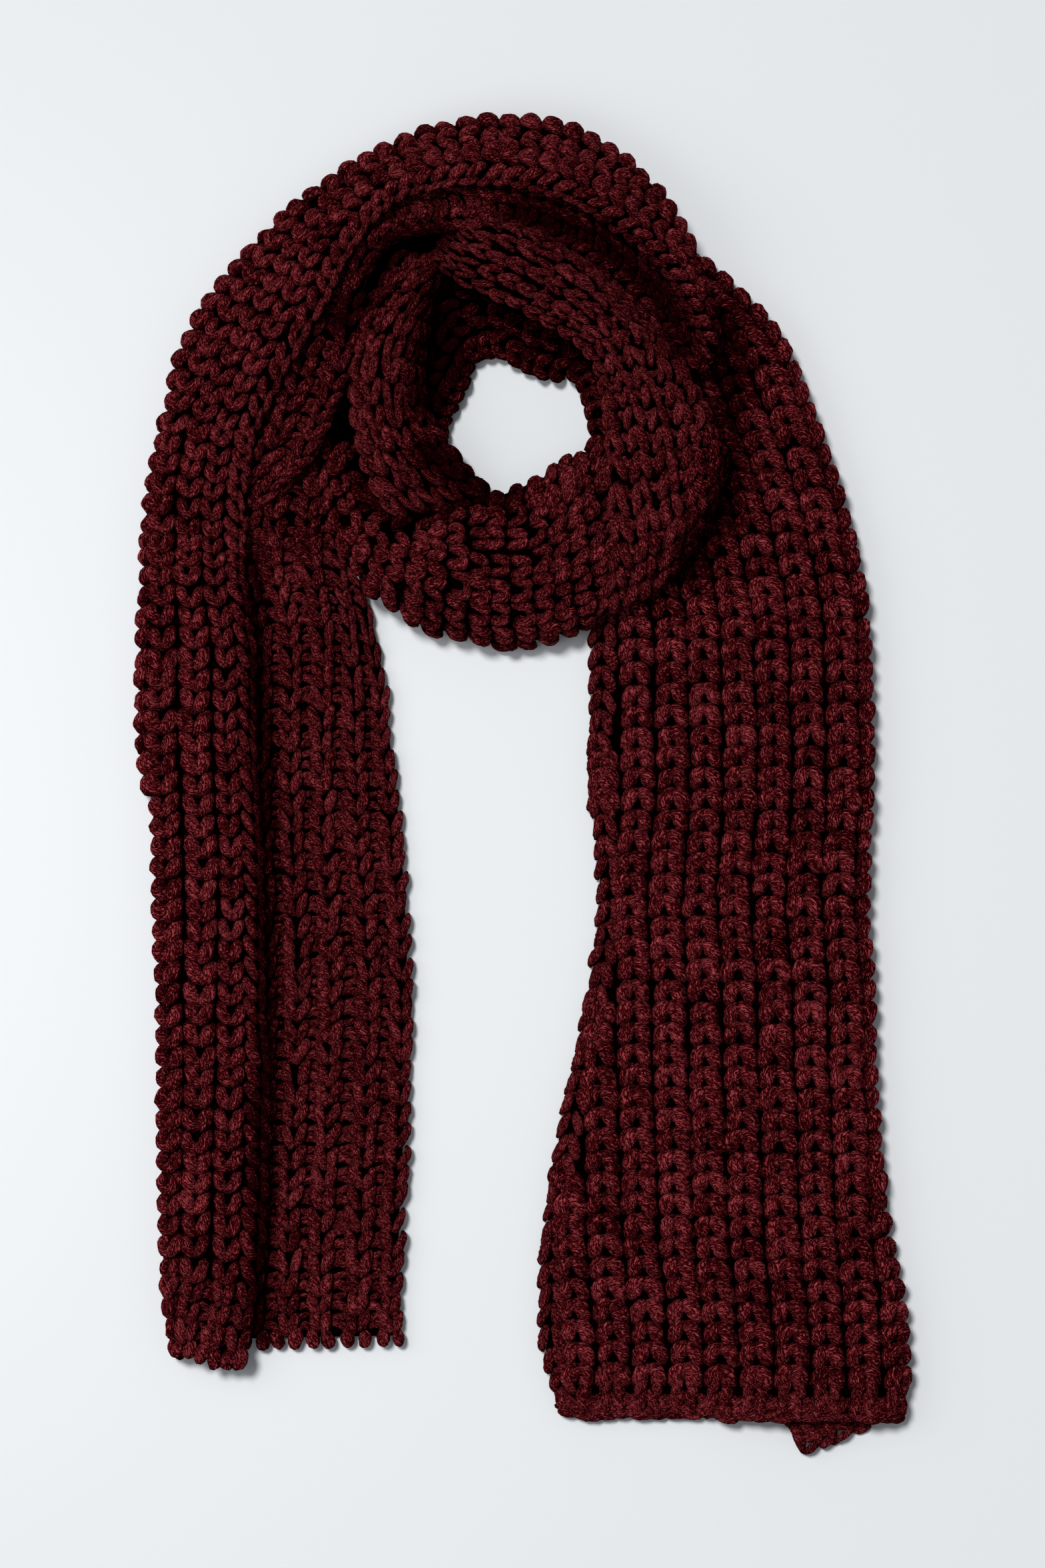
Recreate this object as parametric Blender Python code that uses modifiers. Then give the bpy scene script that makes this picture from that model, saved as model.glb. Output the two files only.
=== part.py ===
"""A chunky hand-knit scarf, looped once round a neck opening and laid flat.

The scarf is one strip, about 2 m long and 25 cm wide, in a thick two-faced rib.
It is folded lengthwise and wound one and a half turns, so it shows as stretches
that lie on each other.  Each stretch is a wall of cloth lofted through sections.
A section runs straight across the strip from an inner edge to an outer edge, and
its height follows four knots.  The folded stretches carry on round a half circle
into a flap.  Lengths in the tables are millimetres, +Y runs up the scarf.
"""
import math

import bmesh
import bpy
import numpy as np

MM = 0.001

CENTRE = (0.0, 0.99)   # moves the tables' points so that the origin is mid outline
CLOTH = 8.5            # thickness of the knitted cloth
FLATTEN = math.radians(4)    # facets of the hidden solid that meet flatter than this are joined
SLIVER = 0.02          # edges shorter than this are closed up
GAP = 0.8              # clearance between stretches that touch
CARRIED_ON = 3 * GAP   # how far a cutter runs past the border of its stretch
FOLD_RADIUS = 5.0      # middle of the cloth, round a lengthwise fold
REST = CLOTH / 2       # height of the cloth's middle where it lies on the surface
CLIMB = 56.0           # width over which the right tail climbs onto its own flap
FLAP_CLEAR = CLIMB / 4 + CLOTH       # the flap folded under stops this far from mid climb
KNOTS_AT = (0.0, 0.28, 0.60, 1.0)    # where a section's height knots sit, inner to outer
FOLD_SLIP = 0.3        # share of a flap's slip along the scarf that is there round its fold
SLIP_RUN = 0.5         # share of the flap's width where the slip is complete

# Points across each kind of section.
PANEL_OVER, PANEL_UNDER = 6, 12
FOLD_POINTS, FLAP_POINTS = 3, 4
ROLLED = (0, 0.1, 0.2, 0.32, 0.46, 0.6, 0.75, 0.9, 1)
ARCHED = (0, 0.04, 0.12, 0.28, 0.45, 0.6, 0.78, 0.93, 1)
PLAIN = (0, 0.25, 0.5, 0.75, 1)

# Left tail, cast-on end first.  The inner edge is the tail's right-hand selvedge, the
# outer edge is the fold, and the flap lies back over the tail from that fold.
LEFT_TAIL = (
    # inner x, inner y, outer x, outer y, flap, slip, z inner, z crest, z valley, z outer
    (-65.0, -298.0, -188.0, -301.0, 30.0, 9.0, 4.25, 4.25, 4.25, 4.25),
    (-65.0, -268.0, -193.0, -266.0, 42.0, 5.0, 4.25, 4.25, 4.25, 4.25),
    (-64.0, -230.0, -195.0, -230.0, 47.0, 0.0, 4.25, 4.25, 4.25, 4.25),
    (-61.0, -166.0, -195.0, -166.0, 49.0, 0.0, 4.25, 4.25, 4.25, 4.25),
    (-60.0, -98.0, -195.0, -98.0, 48.0, 0.0, 4.25, 4.25, 4.25, 4.25),
    (-63.0, -34.0, -199.0, -34.0, 51.0, 0.0, 4.25, 4.25, 4.25, 4.25),
    (-69.0, 22.0, -205.0, 24.0, 54.0, 0.0, 4.25, 4.25, 4.25, 4.25),
    (-75.0, 70.0, -206.0, 70.0, 55.0, 0.0, 4.25, 4.25, 4.25, 4.25),
    (-85.0, 106.0, -204.0, 110.0, 48.0, 0.0, 4.25, 4.25, 4.25, 4.25),
    (-100.0, 134.0, -202.0, 143.0, 47.0, 0.0, 4.25, 4.25, 4.25, 4.25),
)

# Outer arc, from the left tail up and over the top to the right, where its flap runs out.
OUTER_ARC = (
    # inner x, inner y, outer x, outer y, flap, slip, z inner, z crest, z valley, z outer
    (-139.0, 136.0, -202.0, 143.0, 46.0, 0.0, 4.5, 4.25, 4.25, 4.25),
    (-129.0, 158.0, -199.0, 170.0, 45.0, 0.0, 14.0, 8.0, 4.5, 4.25),
    (-111.0, 172.0, -192.0, 201.0, 45.0, 0.0, 24.0, 17.0, 9.0, 4.25),
    (-101.0, 191.0, -186.0, 226.0, 50.0, 0.0, 27.0, 21.0, 13.0, 4.5),
    (-92.0, 214.0, -173.0, 253.0, 51.0, 0.0, 28.0, 24.0, 17.0, 6.0),
    (-85.0, 245.0, -154.0, 278.0, 47.0, 0.0, 28.0, 26.0, 20.0, 7.0),
    (-81.0, 268.0, -131.0, 302.0, 37.0, 0.0, 28.0, 27.0, 22.0, 8.0),
    (-68.0, 285.0, -104.0, 324.0, 29.0, 0.0, 29.0, 28.0, 23.0, 8.0),
    (-50.0, 290.0, -75.0, 341.0, 26.0, 0.0, 29.0, 28.0, 24.0, 8.0),
    (-30.0, 292.0, -43.0, 352.0, 29.0, 0.0, 28.0, 27.0, 24.0, 8.0),
    (-8.0, 288.0, -9.0, 357.0, 33.0, 0.0, 27.0, 26.0, 24.0, 8.0),
    (14.0, 281.0, 26.0, 353.0, 36.0, 0.0, 26.0, 26.0, 25.0, 9.0),
    (36.0, 270.0, 54.0, 335.0, 32.0, 0.0, 26.0, 26.0, 25.0, 12.0),
    (55.0, 254.0, 76.0, 313.0, 26.0, 0.0, 26.0, 26.0, 26.0, 18.0),
    (70.0, 238.0, 89.0, 289.0, 19.0, 0.0, 27.0, 27.0, 27.0, 23.0),
    (81.0, 222.0, 99.0, 260.0, 12.0, 0.0, 27.0, 27.0, 27.0, 24.0),
    (89.0, 206.0, 105.0, 234.0, 5.0, 0.0, 27.0, 27.0, 27.0, 24.0),
)

# Neck turn, from under the outer arc down the right of the opening to the slanted fold.
NECK_TURN = (
    # inner x, inner y, outer x, outer y, bow, z inner, z crest, z valley, z outer
    (-49.0, 277.0, -37.0, 302.0, 0.0, 18.0, 20.0, 20.0, 17.0),
    (-37.0, 267.0, -17.0, 303.0, 0.0, 30.0, 34.0, 34.0, 26.0),
    (-17.0, 258.0, 6.0, 296.0, 0.0, 36.0, 41.0, 41.0, 31.0),
    (3.0, 248.0, 31.0, 279.0, 0.0, 37.0, 43.0, 44.0, 31.0),
    (23.0, 237.0, 53.0, 260.0, 0.0, 37.0, 44.0, 45.0, 30.0),
    (37.0, 224.0, 73.0, 238.0, 0.0, 36.0, 44.0, 45.0, 28.0),
    (43.0, 208.0, 89.0, 216.0, 0.0, 35.0, 43.0, 44.0, 26.0),
    (46.0, 190.0, 102.0, 193.0, 0.0, 34.0, 42.0, 43.0, 25.0),
    (47.0, 168.0, 108.0, 178.0, 1.0, 34.0, 41.0, 42.0, 25.0),
    (48.0, 146.0, 108.0, 173.0, 3.0, 34.0, 40.0, 41.0, 25.0),
    (49.0, 118.0, 107.0, 167.0, 8.0, 31.0, 35.0, 35.0, 23.0),
    (40.0, 88.0, 102.0, 158.0, 13.0, 15.0, 17.0, 19.0, 15.0),
)

# Front band, from under the arc at the left, along the bottom of the opening to the right.
FRONT_BAND = (
    # inner x, inner y, outer x, outer y, bow, z inner, z crest, z valley, z outer
    (-100.0, 180.0, -111.0, 164.0, 0.0, 14.0, 14.0, 14.0, 14.0),
    (-93.0, 158.0, -107.0, 142.0, 0.0, 17.0, 18.0, 17.0, 14.0),
    (-83.0, 143.0, -94.0, 120.0, 0.0, 21.0, 23.0, 22.0, 14.0),
    (-69.0, 134.0, -79.0, 99.0, 0.0, 22.0, 28.0, 27.0, 13.0),
    (-51.0, 134.0, -57.0, 83.0, 0.0, 21.0, 32.0, 30.0, 7.0),
    (-33.0, 142.0, -34.0, 76.0, 0.0, 22.0, 33.0, 31.0, 4.25),
    (-14.0, 152.0, -10.0, 72.0, 0.0, 22.0, 34.0, 32.0, 4.25),
    (6.0, 160.0, 14.0, 74.0, 0.0, 22.0, 33.0, 31.0, 5.0),
    (23.0, 169.0, 36.0, 83.0, 0.0, 20.0, 29.0, 28.0, 14.0),
    (36.0, 178.0, 52.0, 95.0, 0.0, 18.0, 23.0, 23.0, 15.0),
    (52.0, 184.0, 70.0, 108.0, 0.0, 17.0, 19.0, 19.0, 16.0),
)

# Inner left, the lower layer of the front band's stretch, from the top down to that band.
INNER_LEFT = (
    # inner x, inner y, outer x, outer y, bow, z inner, z crest, z valley, z outer
    (-64.0, 284.0, -40.0, 281.0, 0.0, 13.0, 17.0, 17.0, 13.0),
    (-73.0, 266.0, -44.0, 261.0, 0.0, 14.0, 29.0, 28.0, 13.0),
    (-83.0, 247.0, -49.0, 240.0, 0.0, 14.0, 34.0, 33.0, 12.0),
    (-89.0, 225.0, -52.0, 221.0, 0.0, 14.0, 36.0, 35.0, 12.0),
    (-88.0, 202.0, -49.0, 200.0, 0.0, 14.0, 36.0, 35.0, 12.0),
    (-85.0, 180.0, -40.0, 184.0, 0.0, 14.0, 33.0, 33.0, 12.0),
    (-79.0, 162.0, -28.0, 169.0, 0.0, 14.0, 25.0, 25.0, 12.0),
    (-60.0, 134.0, -8.0, 150.0, 0.0, 10.0, 12.0, 12.0, 9.0),
)

# Under arc, the deepest layer round the right, top and left of the opening.
UNDER_ARC = (
    # inner x, inner y, outer x, outer y, bow, z inner, z crest, z valley, z outer
    (41.0, 176.0, 64.0, 160.0, 0.0, 4.25, 5.0, 6.0, 6.0),
    (36.0, 192.0, 70.0, 190.0, 0.0, 4.25, 6.0, 7.0, 7.0),
    (34.0, 206.0, 67.0, 218.0, 0.0, 4.25, 6.0, 8.0, 9.0),
    (28.0, 216.0, 54.0, 242.0, 0.0, 4.25, 7.0, 10.0, 11.0),
    (15.0, 217.0, 34.0, 258.0, 0.0, 4.25, 7.0, 11.0, 13.0),
    (2.0, 221.0, 9.0, 272.0, 0.0, 4.25, 7.0, 11.0, 13.0),
    (-11.0, 229.0, -17.0, 280.0, 0.0, 4.25, 6.0, 9.0, 11.0),
    (-24.0, 227.0, -50.0, 272.0, 0.0, 4.25, 5.0, 6.0, 6.0),
    (-33.0, 207.0, -68.0, 238.0, 0.0, 4.25, 4.25, 4.25, 4.25),
    (-40.0, 192.0, -76.0, 200.0, 0.0, 4.25, 4.25, 4.25, 4.25),
    (-42.0, 178.0, -72.0, 168.0, 0.0, 4.25, 4.25, 4.25, 4.25),
    (-30.0, 166.0, -52.0, 146.0, 0.0, 4.25, 4.25, 4.25, 4.25),
    (-14.0, 155.0, -28.0, 134.0, 0.0, 4.25, 4.25, 4.25, 4.25),
)

# Bed of the hidden layers, which shows only down the crevices inside the outer arc.
BED = (
    # inner x, inner y, outer x, outer y, bow, z inner, z crest, z valley, z outer
    (-60.0, 120.0, -142.0, 128.0, 0.0, 9.0, 9.0, 9.0, 9.0),
    (-60.0, 150.0, -138.0, 158.0, 0.0, 9.0, 9.0, 9.0, 9.0),
    (-60.0, 175.0, -120.0, 182.0, 0.0, 9.0, 9.0, 9.0, 9.0),
    (-60.0, 200.0, -108.0, 204.0, 0.0, 9.0, 9.0, 9.0, 9.0),
    (-60.0, 225.0, -100.0, 226.0, 0.0, 9.0, 9.0, 9.0, 9.0),
    (-55.0, 250.0, -92.0, 256.0, 0.0, 9.0, 9.0, 9.0, 9.0),
    (-45.0, 262.0, -84.0, 280.0, 0.0, 9.0, 9.0, 9.0, 9.0),
    (-32.0, 264.0, -60.0, 296.0, 0.0, 9.0, 9.0, 9.0, 9.0),
    (-12.0, 262.0, -25.0, 300.0, 0.0, 9.0, 9.0, 9.0, 9.0),
    (14.0, 256.0, 20.0, 292.0, 0.0, 9.0, 9.0, 9.0, 9.0),
)

# Right tail, bound-off end first.  Its outer part is folded under, so the panel steps up
# over that flap: the step is the share of the width where the climb is half done.
RIGHT_TAIL = (
    # inner x, inner y, outer x, outer y, flap, slip, step
    (22.0, -339.0, 204.0, -340.0, 46.0, 20.0, 0.50),
    (12.0, -312.0, 206.0, -312.0, 66.0, 12.0, 0.50),
    (9.0, -276.0, 203.0, -276.0, 70.0, 4.0, 0.50),
    (11.0, -241.0, 196.0, -241.0, 70.0, 0.0, 0.48),
    (17.0, -194.0, 191.0, -194.0, 70.0, 0.0, 0.46),
    (27.0, -148.0, 188.0, -148.0, 68.0, 0.0, 0.44),
    (35.0, -105.0, 187.0, -105.0, 66.0, 0.0, 0.42),
    (40.0, -69.0, 184.0, -69.0, 64.0, 0.0, 0.41),
    (39.0, -37.0, 185.0, -37.0, 64.0, 0.0, 0.41),
    (35.0, 2.0, 187.0, 2.0, 64.0, 0.0, 0.42),
    (36.0, 42.0, 186.0, 45.0, 64.0, 0.0, 0.42),
    (38.0, 86.0, 185.0, 86.0, 64.0, 0.0, 0.42),
    (50.0, 114.0, 179.0, 121.0, 60.0, 0.0, 0.39),
    (76.0, 150.0, 171.0, 155.0, 52.0, 0.0, 0.28),
    (84.0, 184.0, 157.0, 194.0, 44.0, 0.0, 0.20),
    (78.0, 214.0, 143.0, 231.0, 38.0, 0.0, 0.20),
    (70.0, 236.0, 123.0, 257.0, 30.0, 0.0, 0.20),
    (62.0, 254.0, 100.0, 279.0, 20.0, 0.0, 0.20),
)


def along(rows, steps):
    """Catmull-Rom curve through the rows of a table, with so many steps from row to row."""
    rows = np.asarray(rows, float)
    padded = np.vstack((2 * rows[0] - rows[1], rows, 2 * rows[-1] - rows[-2]))
    place = np.linspace(0, len(rows) - 1, (len(rows) - 1) * steps + 1)
    first = np.minimum(place.astype(int), len(rows) - 2)
    t = (place - first)[:, None]
    a, b, c, d = (padded[first + k] for k in range(4))
    return 0.5 * (2 * b + (c - a) * t + (2 * a - 5 * b + 4 * c - d) * t ** 2
                  + (3 * b - a - 3 * c + d) * t ** 3)


def eased(share):
    """Smooth step from 0 to 1."""
    share = np.clip(share, 0, 1)
    return share * share * (3 - 2 * share)


def height_across(knots, w, rolled_in, rolled_out):
    """Height at share w of the width, eased from knot to knot, or a quarter ellipse at a roll."""
    inner, crest, valley, outer = (knots[:, k:k + 1] for k in range(4))
    at = KNOTS_AT
    rise = w / at[1]
    if rolled_in:
        first = inner + (crest - inner) * np.sqrt(np.clip(1 - (1 - rise) ** 2, 0, 1))
    else:
        first = inner + (crest - inner) * np.sin(np.clip(rise, 0, 1) * math.pi / 2)
    middle = crest + (valley - crest) * eased((w - at[1]) / (at[2] - at[1]))
    fall = np.clip((w - at[2]) / (at[3] - at[2]), 0, 1)
    if rolled_out:
        last = outer + (valley - outer) * np.sqrt(np.clip(1 - fall ** 2, 0, 1))
    else:
        last = valley + (outer - valley) * eased(fall)
    return np.where(w < at[1], first, np.where(w < at[2], middle, last))


def frame_of(stations):
    """Inner point, direction across and width of each section, inset for half the cloth."""
    inner, outer = stations[:, 0:2], stations[:, 2:4]
    across = outer - inner
    width = np.linalg.norm(across, axis=1, keepdims=True)
    return inner + CENTRE, across / width, width - CLOTH / 2


def hump(stations, w, rolled_in=False, rolled_out=True):
    """Middle surface of a stretch that bulges up: straight in plan but for a bow along it."""
    inner, across, width = frame_of(stations)
    bow = stations[:, 4:5]
    onward = np.stack((across[:, 1], -across[:, 0]), axis=1)
    shift = bow * np.sin(w[None, :] * math.pi)
    plan = (inner[:, None, :] + across[:, None, :] * (width * w)[:, :, None]
            + onward[:, None, :] * shift[:, :, None])
    height = height_across(stations[:, 5:9], w[None, :], rolled_in, rolled_out)
    return np.dstack((plan, np.maximum(height, REST)))


def folded_over(stations):
    """Middle surface of a panel, the half circle at its outer edge and the flap on top of it."""
    inner, across, width = frame_of(stations)
    run = width - FOLD_RADIUS
    flap, slip = stations[:, 4:5], stations[:, 5:6]
    knots = np.maximum(stations[:, 6:10], REST)
    w = np.linspace(0, 1, PANEL_OVER)[None, :]
    panel_out = run * w
    panel_z = height_across(knots, w, False, False)
    turn = np.linspace(-0.5, 0.5, FOLD_POINTS + 2)[None, 1:-1] * math.pi
    fold_out = run + FOLD_RADIUS * np.cos(turn)
    fold_z = knots[:, 3:4] + FOLD_RADIUS * (1 + np.sin(turn))
    back = np.linspace(0, 1, FLAP_POINTS)[None, :]
    flap_out = run - flap * back
    flap_z = height_across(knots, flap_out / run, False, False) + 2 * FOLD_RADIUS
    out = np.hstack((panel_out, fold_out, flap_out))
    z = np.hstack((panel_z, fold_z, flap_z))
    slid = np.hstack((0 * w, np.full((1, FOLD_POINTS), FOLD_SLIP),
                      FOLD_SLIP + (1 - FOLD_SLIP) * eased(back / SLIP_RUN)))
    endward = np.stack((-across[:, 1], across[:, 0]), axis=1) * slip
    plan = (inner[:, None, :] + across[:, None, :] * out[:, :, None]
            + endward[:, None, :] * slid[:, :, None])
    return np.dstack((plan, z))


def folded_under(stations):
    """Middle surface of a panel that steps up over the flap folded under its outer edge."""
    inner, across, width = frame_of(stations)
    run = width - FOLD_RADIUS
    flap, slip, step = (stations[:, k:k + 1] for k in (4, 5, 6))
    w = np.linspace(0, 1, PANEL_UNDER)[None, :]
    climb = CLIMB / run
    panel_z = REST + 2 * FOLD_RADIUS * eased((w - step) / climb + 0.5)
    turn = np.linspace(0.5, -0.5, FOLD_POINTS + 2)[None, 1:-1] * math.pi
    fold_out = run + FOLD_RADIUS * np.cos(turn)
    fold_z = REST + FOLD_RADIUS * (1 + np.sin(turn)) + 0 * run
    back = np.linspace(0, 1, FLAP_POINTS)[None, :]
    room = run * (1 - step) - FLAP_CLEAR
    flap_out = run - np.minimum(flap, room) * back
    out = np.hstack((run * w, fold_out, flap_out))
    z = np.hstack((panel_z, fold_z, REST + 0 * flap_out))
    slid = np.hstack((0 * w, 0 * turn, back))
    endward = np.stack((across[:, 1], -across[:, 0]), axis=1) * slip
    plan = (inner[:, None, :] + across[:, None, :] * out[:, :, None]
            + endward[:, None, :] * slid[:, :, None])
    return np.dstack((plan, z))


def triangles(index):
    """Two triangles for each cell of a grid of point numbers."""
    a, b, c, d = index[:-1, :-1], index[:-1, 1:], index[1:, 1:], index[1:, :-1]
    halves = np.stack((np.stack((a, b, c), axis=-1), np.stack((a, c, d), axis=-1)), axis=2)
    return halves.reshape(-1, 3)


def grid_mesh(name, points):
    """Triangles over a grid of points, in metres."""
    index = np.arange(points.shape[0] * points.shape[1]).reshape(points.shape[:2])
    mesh = bpy.data.meshes.new(name)
    mesh.from_pydata((points.reshape(-1, 3) * MM).tolist(), [], triangles(index).tolist())
    return mesh


def solidified(name, points, thickness, collection):
    """Wall of the given thickness, centred on a grid of points."""
    thing = bpy.data.objects.new(name, grid_mesh(name, points))
    collection.objects.link(thing)
    wall = thing.modifiers.new("cloth", 'SOLIDIFY')
    wall.thickness = thickness * MM
    wall.offset = 0
    wall.use_even_offset = False
    return thing


def filling(name, points, collection):
    """Closed solid from a stretch's middle surface down to the surface that the scarf lies on."""
    rows, columns = points.shape[:2]
    floor = points.copy()
    floor[:, :, 2] = 0
    count = rows * columns
    index = np.arange(count).reshape(rows, columns)
    top = triangles(index)
    bottom = top[:, ::-1] + count
    rim = np.concatenate((index[0, :], index[1:, -1], index[-1, -2::-1], index[-2:0:-1, 0]))
    after = np.roll(rim, -1)
    upper = np.stack((after, rim, rim + count), axis=-1)
    lower = np.stack((after, rim + count, after + count), axis=-1)
    mesh = bpy.data.meshes.new(name)
    corners = np.concatenate((points.reshape(-1, 3), floor.reshape(-1, 3))) * MM
    faces = np.concatenate((top, bottom, upper, lower))
    mesh.from_pydata(corners.tolist(), [], faces.tolist())
    outward(mesh)
    thing = bpy.data.objects.new(name, mesh)
    collection.objects.link(thing)
    return thing


def outward(mesh):
    """Turn a closed mesh's faces outwards."""
    work = bmesh.new()
    work.from_mesh(mesh)
    bmesh.ops.recalc_face_normals(work, faces=work.faces)
    work.to_mesh(mesh)
    work.free()


def hide(thing):
    """Keep a cutter out of the render."""
    thing.hide_render = True
    thing.display_type = 'WIRE'


def combine(thing, other, operation, solver='EXACT'):
    """Add a Boolean step to an object."""
    step = thing.modifiers.new(operation.lower(), 'BOOLEAN')
    step.operation = operation
    step.object = other
    step.solver = solver


def largest_body(thing, flatten=0.0):
    """Bake an object's modifiers, then keep the largest of its bodies by surface area."""
    bpy.context.view_layer.update()
    evaluated = thing.evaluated_get(bpy.context.evaluated_depsgraph_get())
    mesh = bpy.data.meshes.new_from_object(evaluated)
    thing.modifiers.clear()
    thing.data = mesh
    work = bmesh.new()
    work.from_mesh(mesh)
    bmesh.ops.dissolve_degenerate(work, dist=SLIVER * MM, edges=work.edges)
    if flatten:
        bmesh.ops.dissolve_limit(work, angle_limit=flatten, verts=work.verts, edges=work.edges)
    bmesh.ops.triangulate(work, faces=work.faces)
    unseen, bodies = set(work.faces), []
    while unseen:
        start = unseen.pop()
        body, reached = {start}, [start]
        while reached:
            for edge in reached.pop().edges:
                if len(edge.link_faces) == 2:
                    fresh = [face for face in edge.link_faces if face in unseen]
                    unseen.difference_update(fresh)
                    body.update(fresh)
                    reached.extend(fresh)
        bodies.append(body)
    largest = max(bodies, key=lambda body: sum(face.calc_area() for face in body))
    crumbs = [face for face in work.faces if face not in largest]
    bmesh.ops.delete(work, geom=crumbs, context='FACES')
    work.to_mesh(mesh)
    work.free()


def yarn_material(name, colour):
    """Matt heathered yarn."""
    material = bpy.data.materials.new(name)
    material.use_nodes = True
    shader = material.node_tree.nodes["Principled BSDF"]
    shader.inputs["Base Color"].default_value = (*colour, 1)
    shader.inputs["Roughness"].default_value = 0.9
    shader.inputs["Metallic"].default_value = 0
    return material


def surfaces():
    """Middle surface of every stretch, by its name, highest stretch last."""
    return {
        "right_tail": folded_under(along(RIGHT_TAIL, 1)),
        "under_arc": hump(along(UNDER_ARC, 2), np.array(PLAIN), rolled_out=False),
        "left_tail": folded_over(along(LEFT_TAIL, 1)),
        "outer_arc": folded_over(along(OUTER_ARC, 2)),
        "inner_left": hump(along(INNER_LEFT, 2), np.array(ARCHED), rolled_in=True),
        "front_band": hump(along(FRONT_BAND, 2), np.array(ROLLED)),
        "neck_turn": hump(along(NECK_TURN, 2), np.array(ROLLED)),
    }


SHADES = {
    "right_tail": (0.115, 0.012, 0.020), "under_arc": (0.075, 0.008, 0.014),
    "left_tail": (0.130, 0.014, 0.022), "outer_arc": (0.105, 0.011, 0.018),
    "inner_left": (0.120, 0.013, 0.021), "front_band": (0.140, 0.016, 0.024),
    "neck_turn": (0.150, 0.018, 0.027), "hidden_layers": (0.060, 0.007, 0.011),
}


def seam_inset(points):
    """Pull a stretch's first and last section in by half a gap, so a seam stays open."""
    for end, neighbour in ((0, 1), (-1, -2)):
        step = points[neighbour] - points[end]
        length = np.linalg.norm(step, axis=1, keepdims=True)
        points[end] += step / np.maximum(length, 1) * GAP
    return points


def widened(points):
    """The same surface carried on past its border, for cutting neighbours back."""
    for axis in (0, 1):
        grid = np.swapaxes(points, 0, axis)
        ends = []
        for end, neighbour in ((0, 1), (-1, -2)):
            step = grid[end] - grid[neighbour]
            length = np.linalg.norm(step, axis=1, keepdims=True)
            ends.append(grid[end] + step / np.maximum(length, SLIVER) * CARRIED_ON)
        points = np.swapaxes(np.concatenate((ends[:1], grid, ends[1:])), 0, axis)
    return points


# Where stretches cross, the lower one is cut back to leave a gap to those that it meets.
YIELDS_TO = {
    "under_arc": ("right_tail",),
    "left_tail": (),
    "outer_arc": ("left_tail",),
    "front_band": ("left_tail", "outer_arc", "right_tail", "under_arc", "neck_turn"),
    "inner_left": ("outer_arc", "front_band", "under_arc", "neck_turn", "left_tail"),
    "neck_turn": ("outer_arc", "right_tail"),
}


def build():
    for thing in list(bpy.data.objects):
        bpy.data.objects.remove(thing)
    scarf = bpy.data.collections.new("knit_scarf")
    cutters = bpy.data.collections.new("cutters")
    for collection in (scarf, cutters):
        bpy.context.scene.collection.children.link(collection)

    middles = {name: seam_inset(points) for name, points in surfaces().items()}
    walls, cuts = {}, {}
    for name, points in middles.items():
        walls[name] = solidified(name, points, CLOTH, scarf)
        cuts[name] = solidified(name + "_cutter", widened(points), CLOTH + 2 * GAP, cutters)
        hide(cuts[name])

    # The layers that lie hidden inside the loop are one solid: everything under the raised
    # stretches, less the stretches themselves.
    filled = {name: middles[name][1:-1] for name in ("neck_turn", "front_band", "inner_left")}
    filled["outer_arc"] = middles["outer_arc"][:, :PANEL_OVER]
    filled["bed"] = hump(along(BED, 2), np.array(PLAIN), rolled_out=False)
    hidden = filling("hidden_layers", filled.pop("neck_turn"), scarf)
    walls["hidden_layers"] = hidden
    for name, points in filled.items():
        other = filling(name + "_filling", points, cutters)
        hide(other)
        combine(hidden, other, 'UNION', 'MANIFOLD')
    for cut in cuts.values():
        combine(hidden, cut, 'DIFFERENCE', 'MANIFOLD')
    for name, others in YIELDS_TO.items():
        for other in others:
            combine(walls[name], cuts[other], 'DIFFERENCE')
    for name, wall in walls.items():
        if name == "hidden_layers" or YIELDS_TO.get(name):
            largest_body(wall, FLATTEN if name == "hidden_layers" else 0.0)
        wall.data.materials.append(yarn_material("yarn_" + name, SHADES[name]))


build()
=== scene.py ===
# %% [markdown]
# # A chunky knit scarf, looped once and laid flat
#
# A hand-knit scarf is one long strip of loops. Here it is folded lengthwise, wound one and a half
# turns and laid on a table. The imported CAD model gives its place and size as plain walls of
# cloth. This lesson knits over them: every stitch that shows is a real tube of yarn, laid out
# with numpy on a map of the cloth.

# %% Load the frame
import math

import bpy
import numpy as np
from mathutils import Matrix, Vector


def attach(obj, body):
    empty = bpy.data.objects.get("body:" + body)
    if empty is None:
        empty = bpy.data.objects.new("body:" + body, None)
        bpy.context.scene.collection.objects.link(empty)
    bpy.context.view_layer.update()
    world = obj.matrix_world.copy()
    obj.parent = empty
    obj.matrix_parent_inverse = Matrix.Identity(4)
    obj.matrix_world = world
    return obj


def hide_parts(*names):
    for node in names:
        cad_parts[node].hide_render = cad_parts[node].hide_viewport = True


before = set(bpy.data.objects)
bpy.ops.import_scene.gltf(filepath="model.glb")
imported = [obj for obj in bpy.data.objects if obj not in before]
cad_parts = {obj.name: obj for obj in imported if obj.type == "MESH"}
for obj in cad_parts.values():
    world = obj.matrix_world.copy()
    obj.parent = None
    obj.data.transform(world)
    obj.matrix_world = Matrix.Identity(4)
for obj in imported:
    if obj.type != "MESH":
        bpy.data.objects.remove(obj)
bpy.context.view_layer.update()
print("CAD nodes:", ", ".join(sorted(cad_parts)))

# %% [markdown]
# ## Sizes
#
# Everything is worked out in millimetres and made metres at the very end. A knitter knows a cloth
# by its gauge: how wide a rib and how tall a row is. This is a thick two-faced rib. Its plump
# face shows fat open stitches, its lean face slim columns with valleys of purl bumps between
# them.

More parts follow.
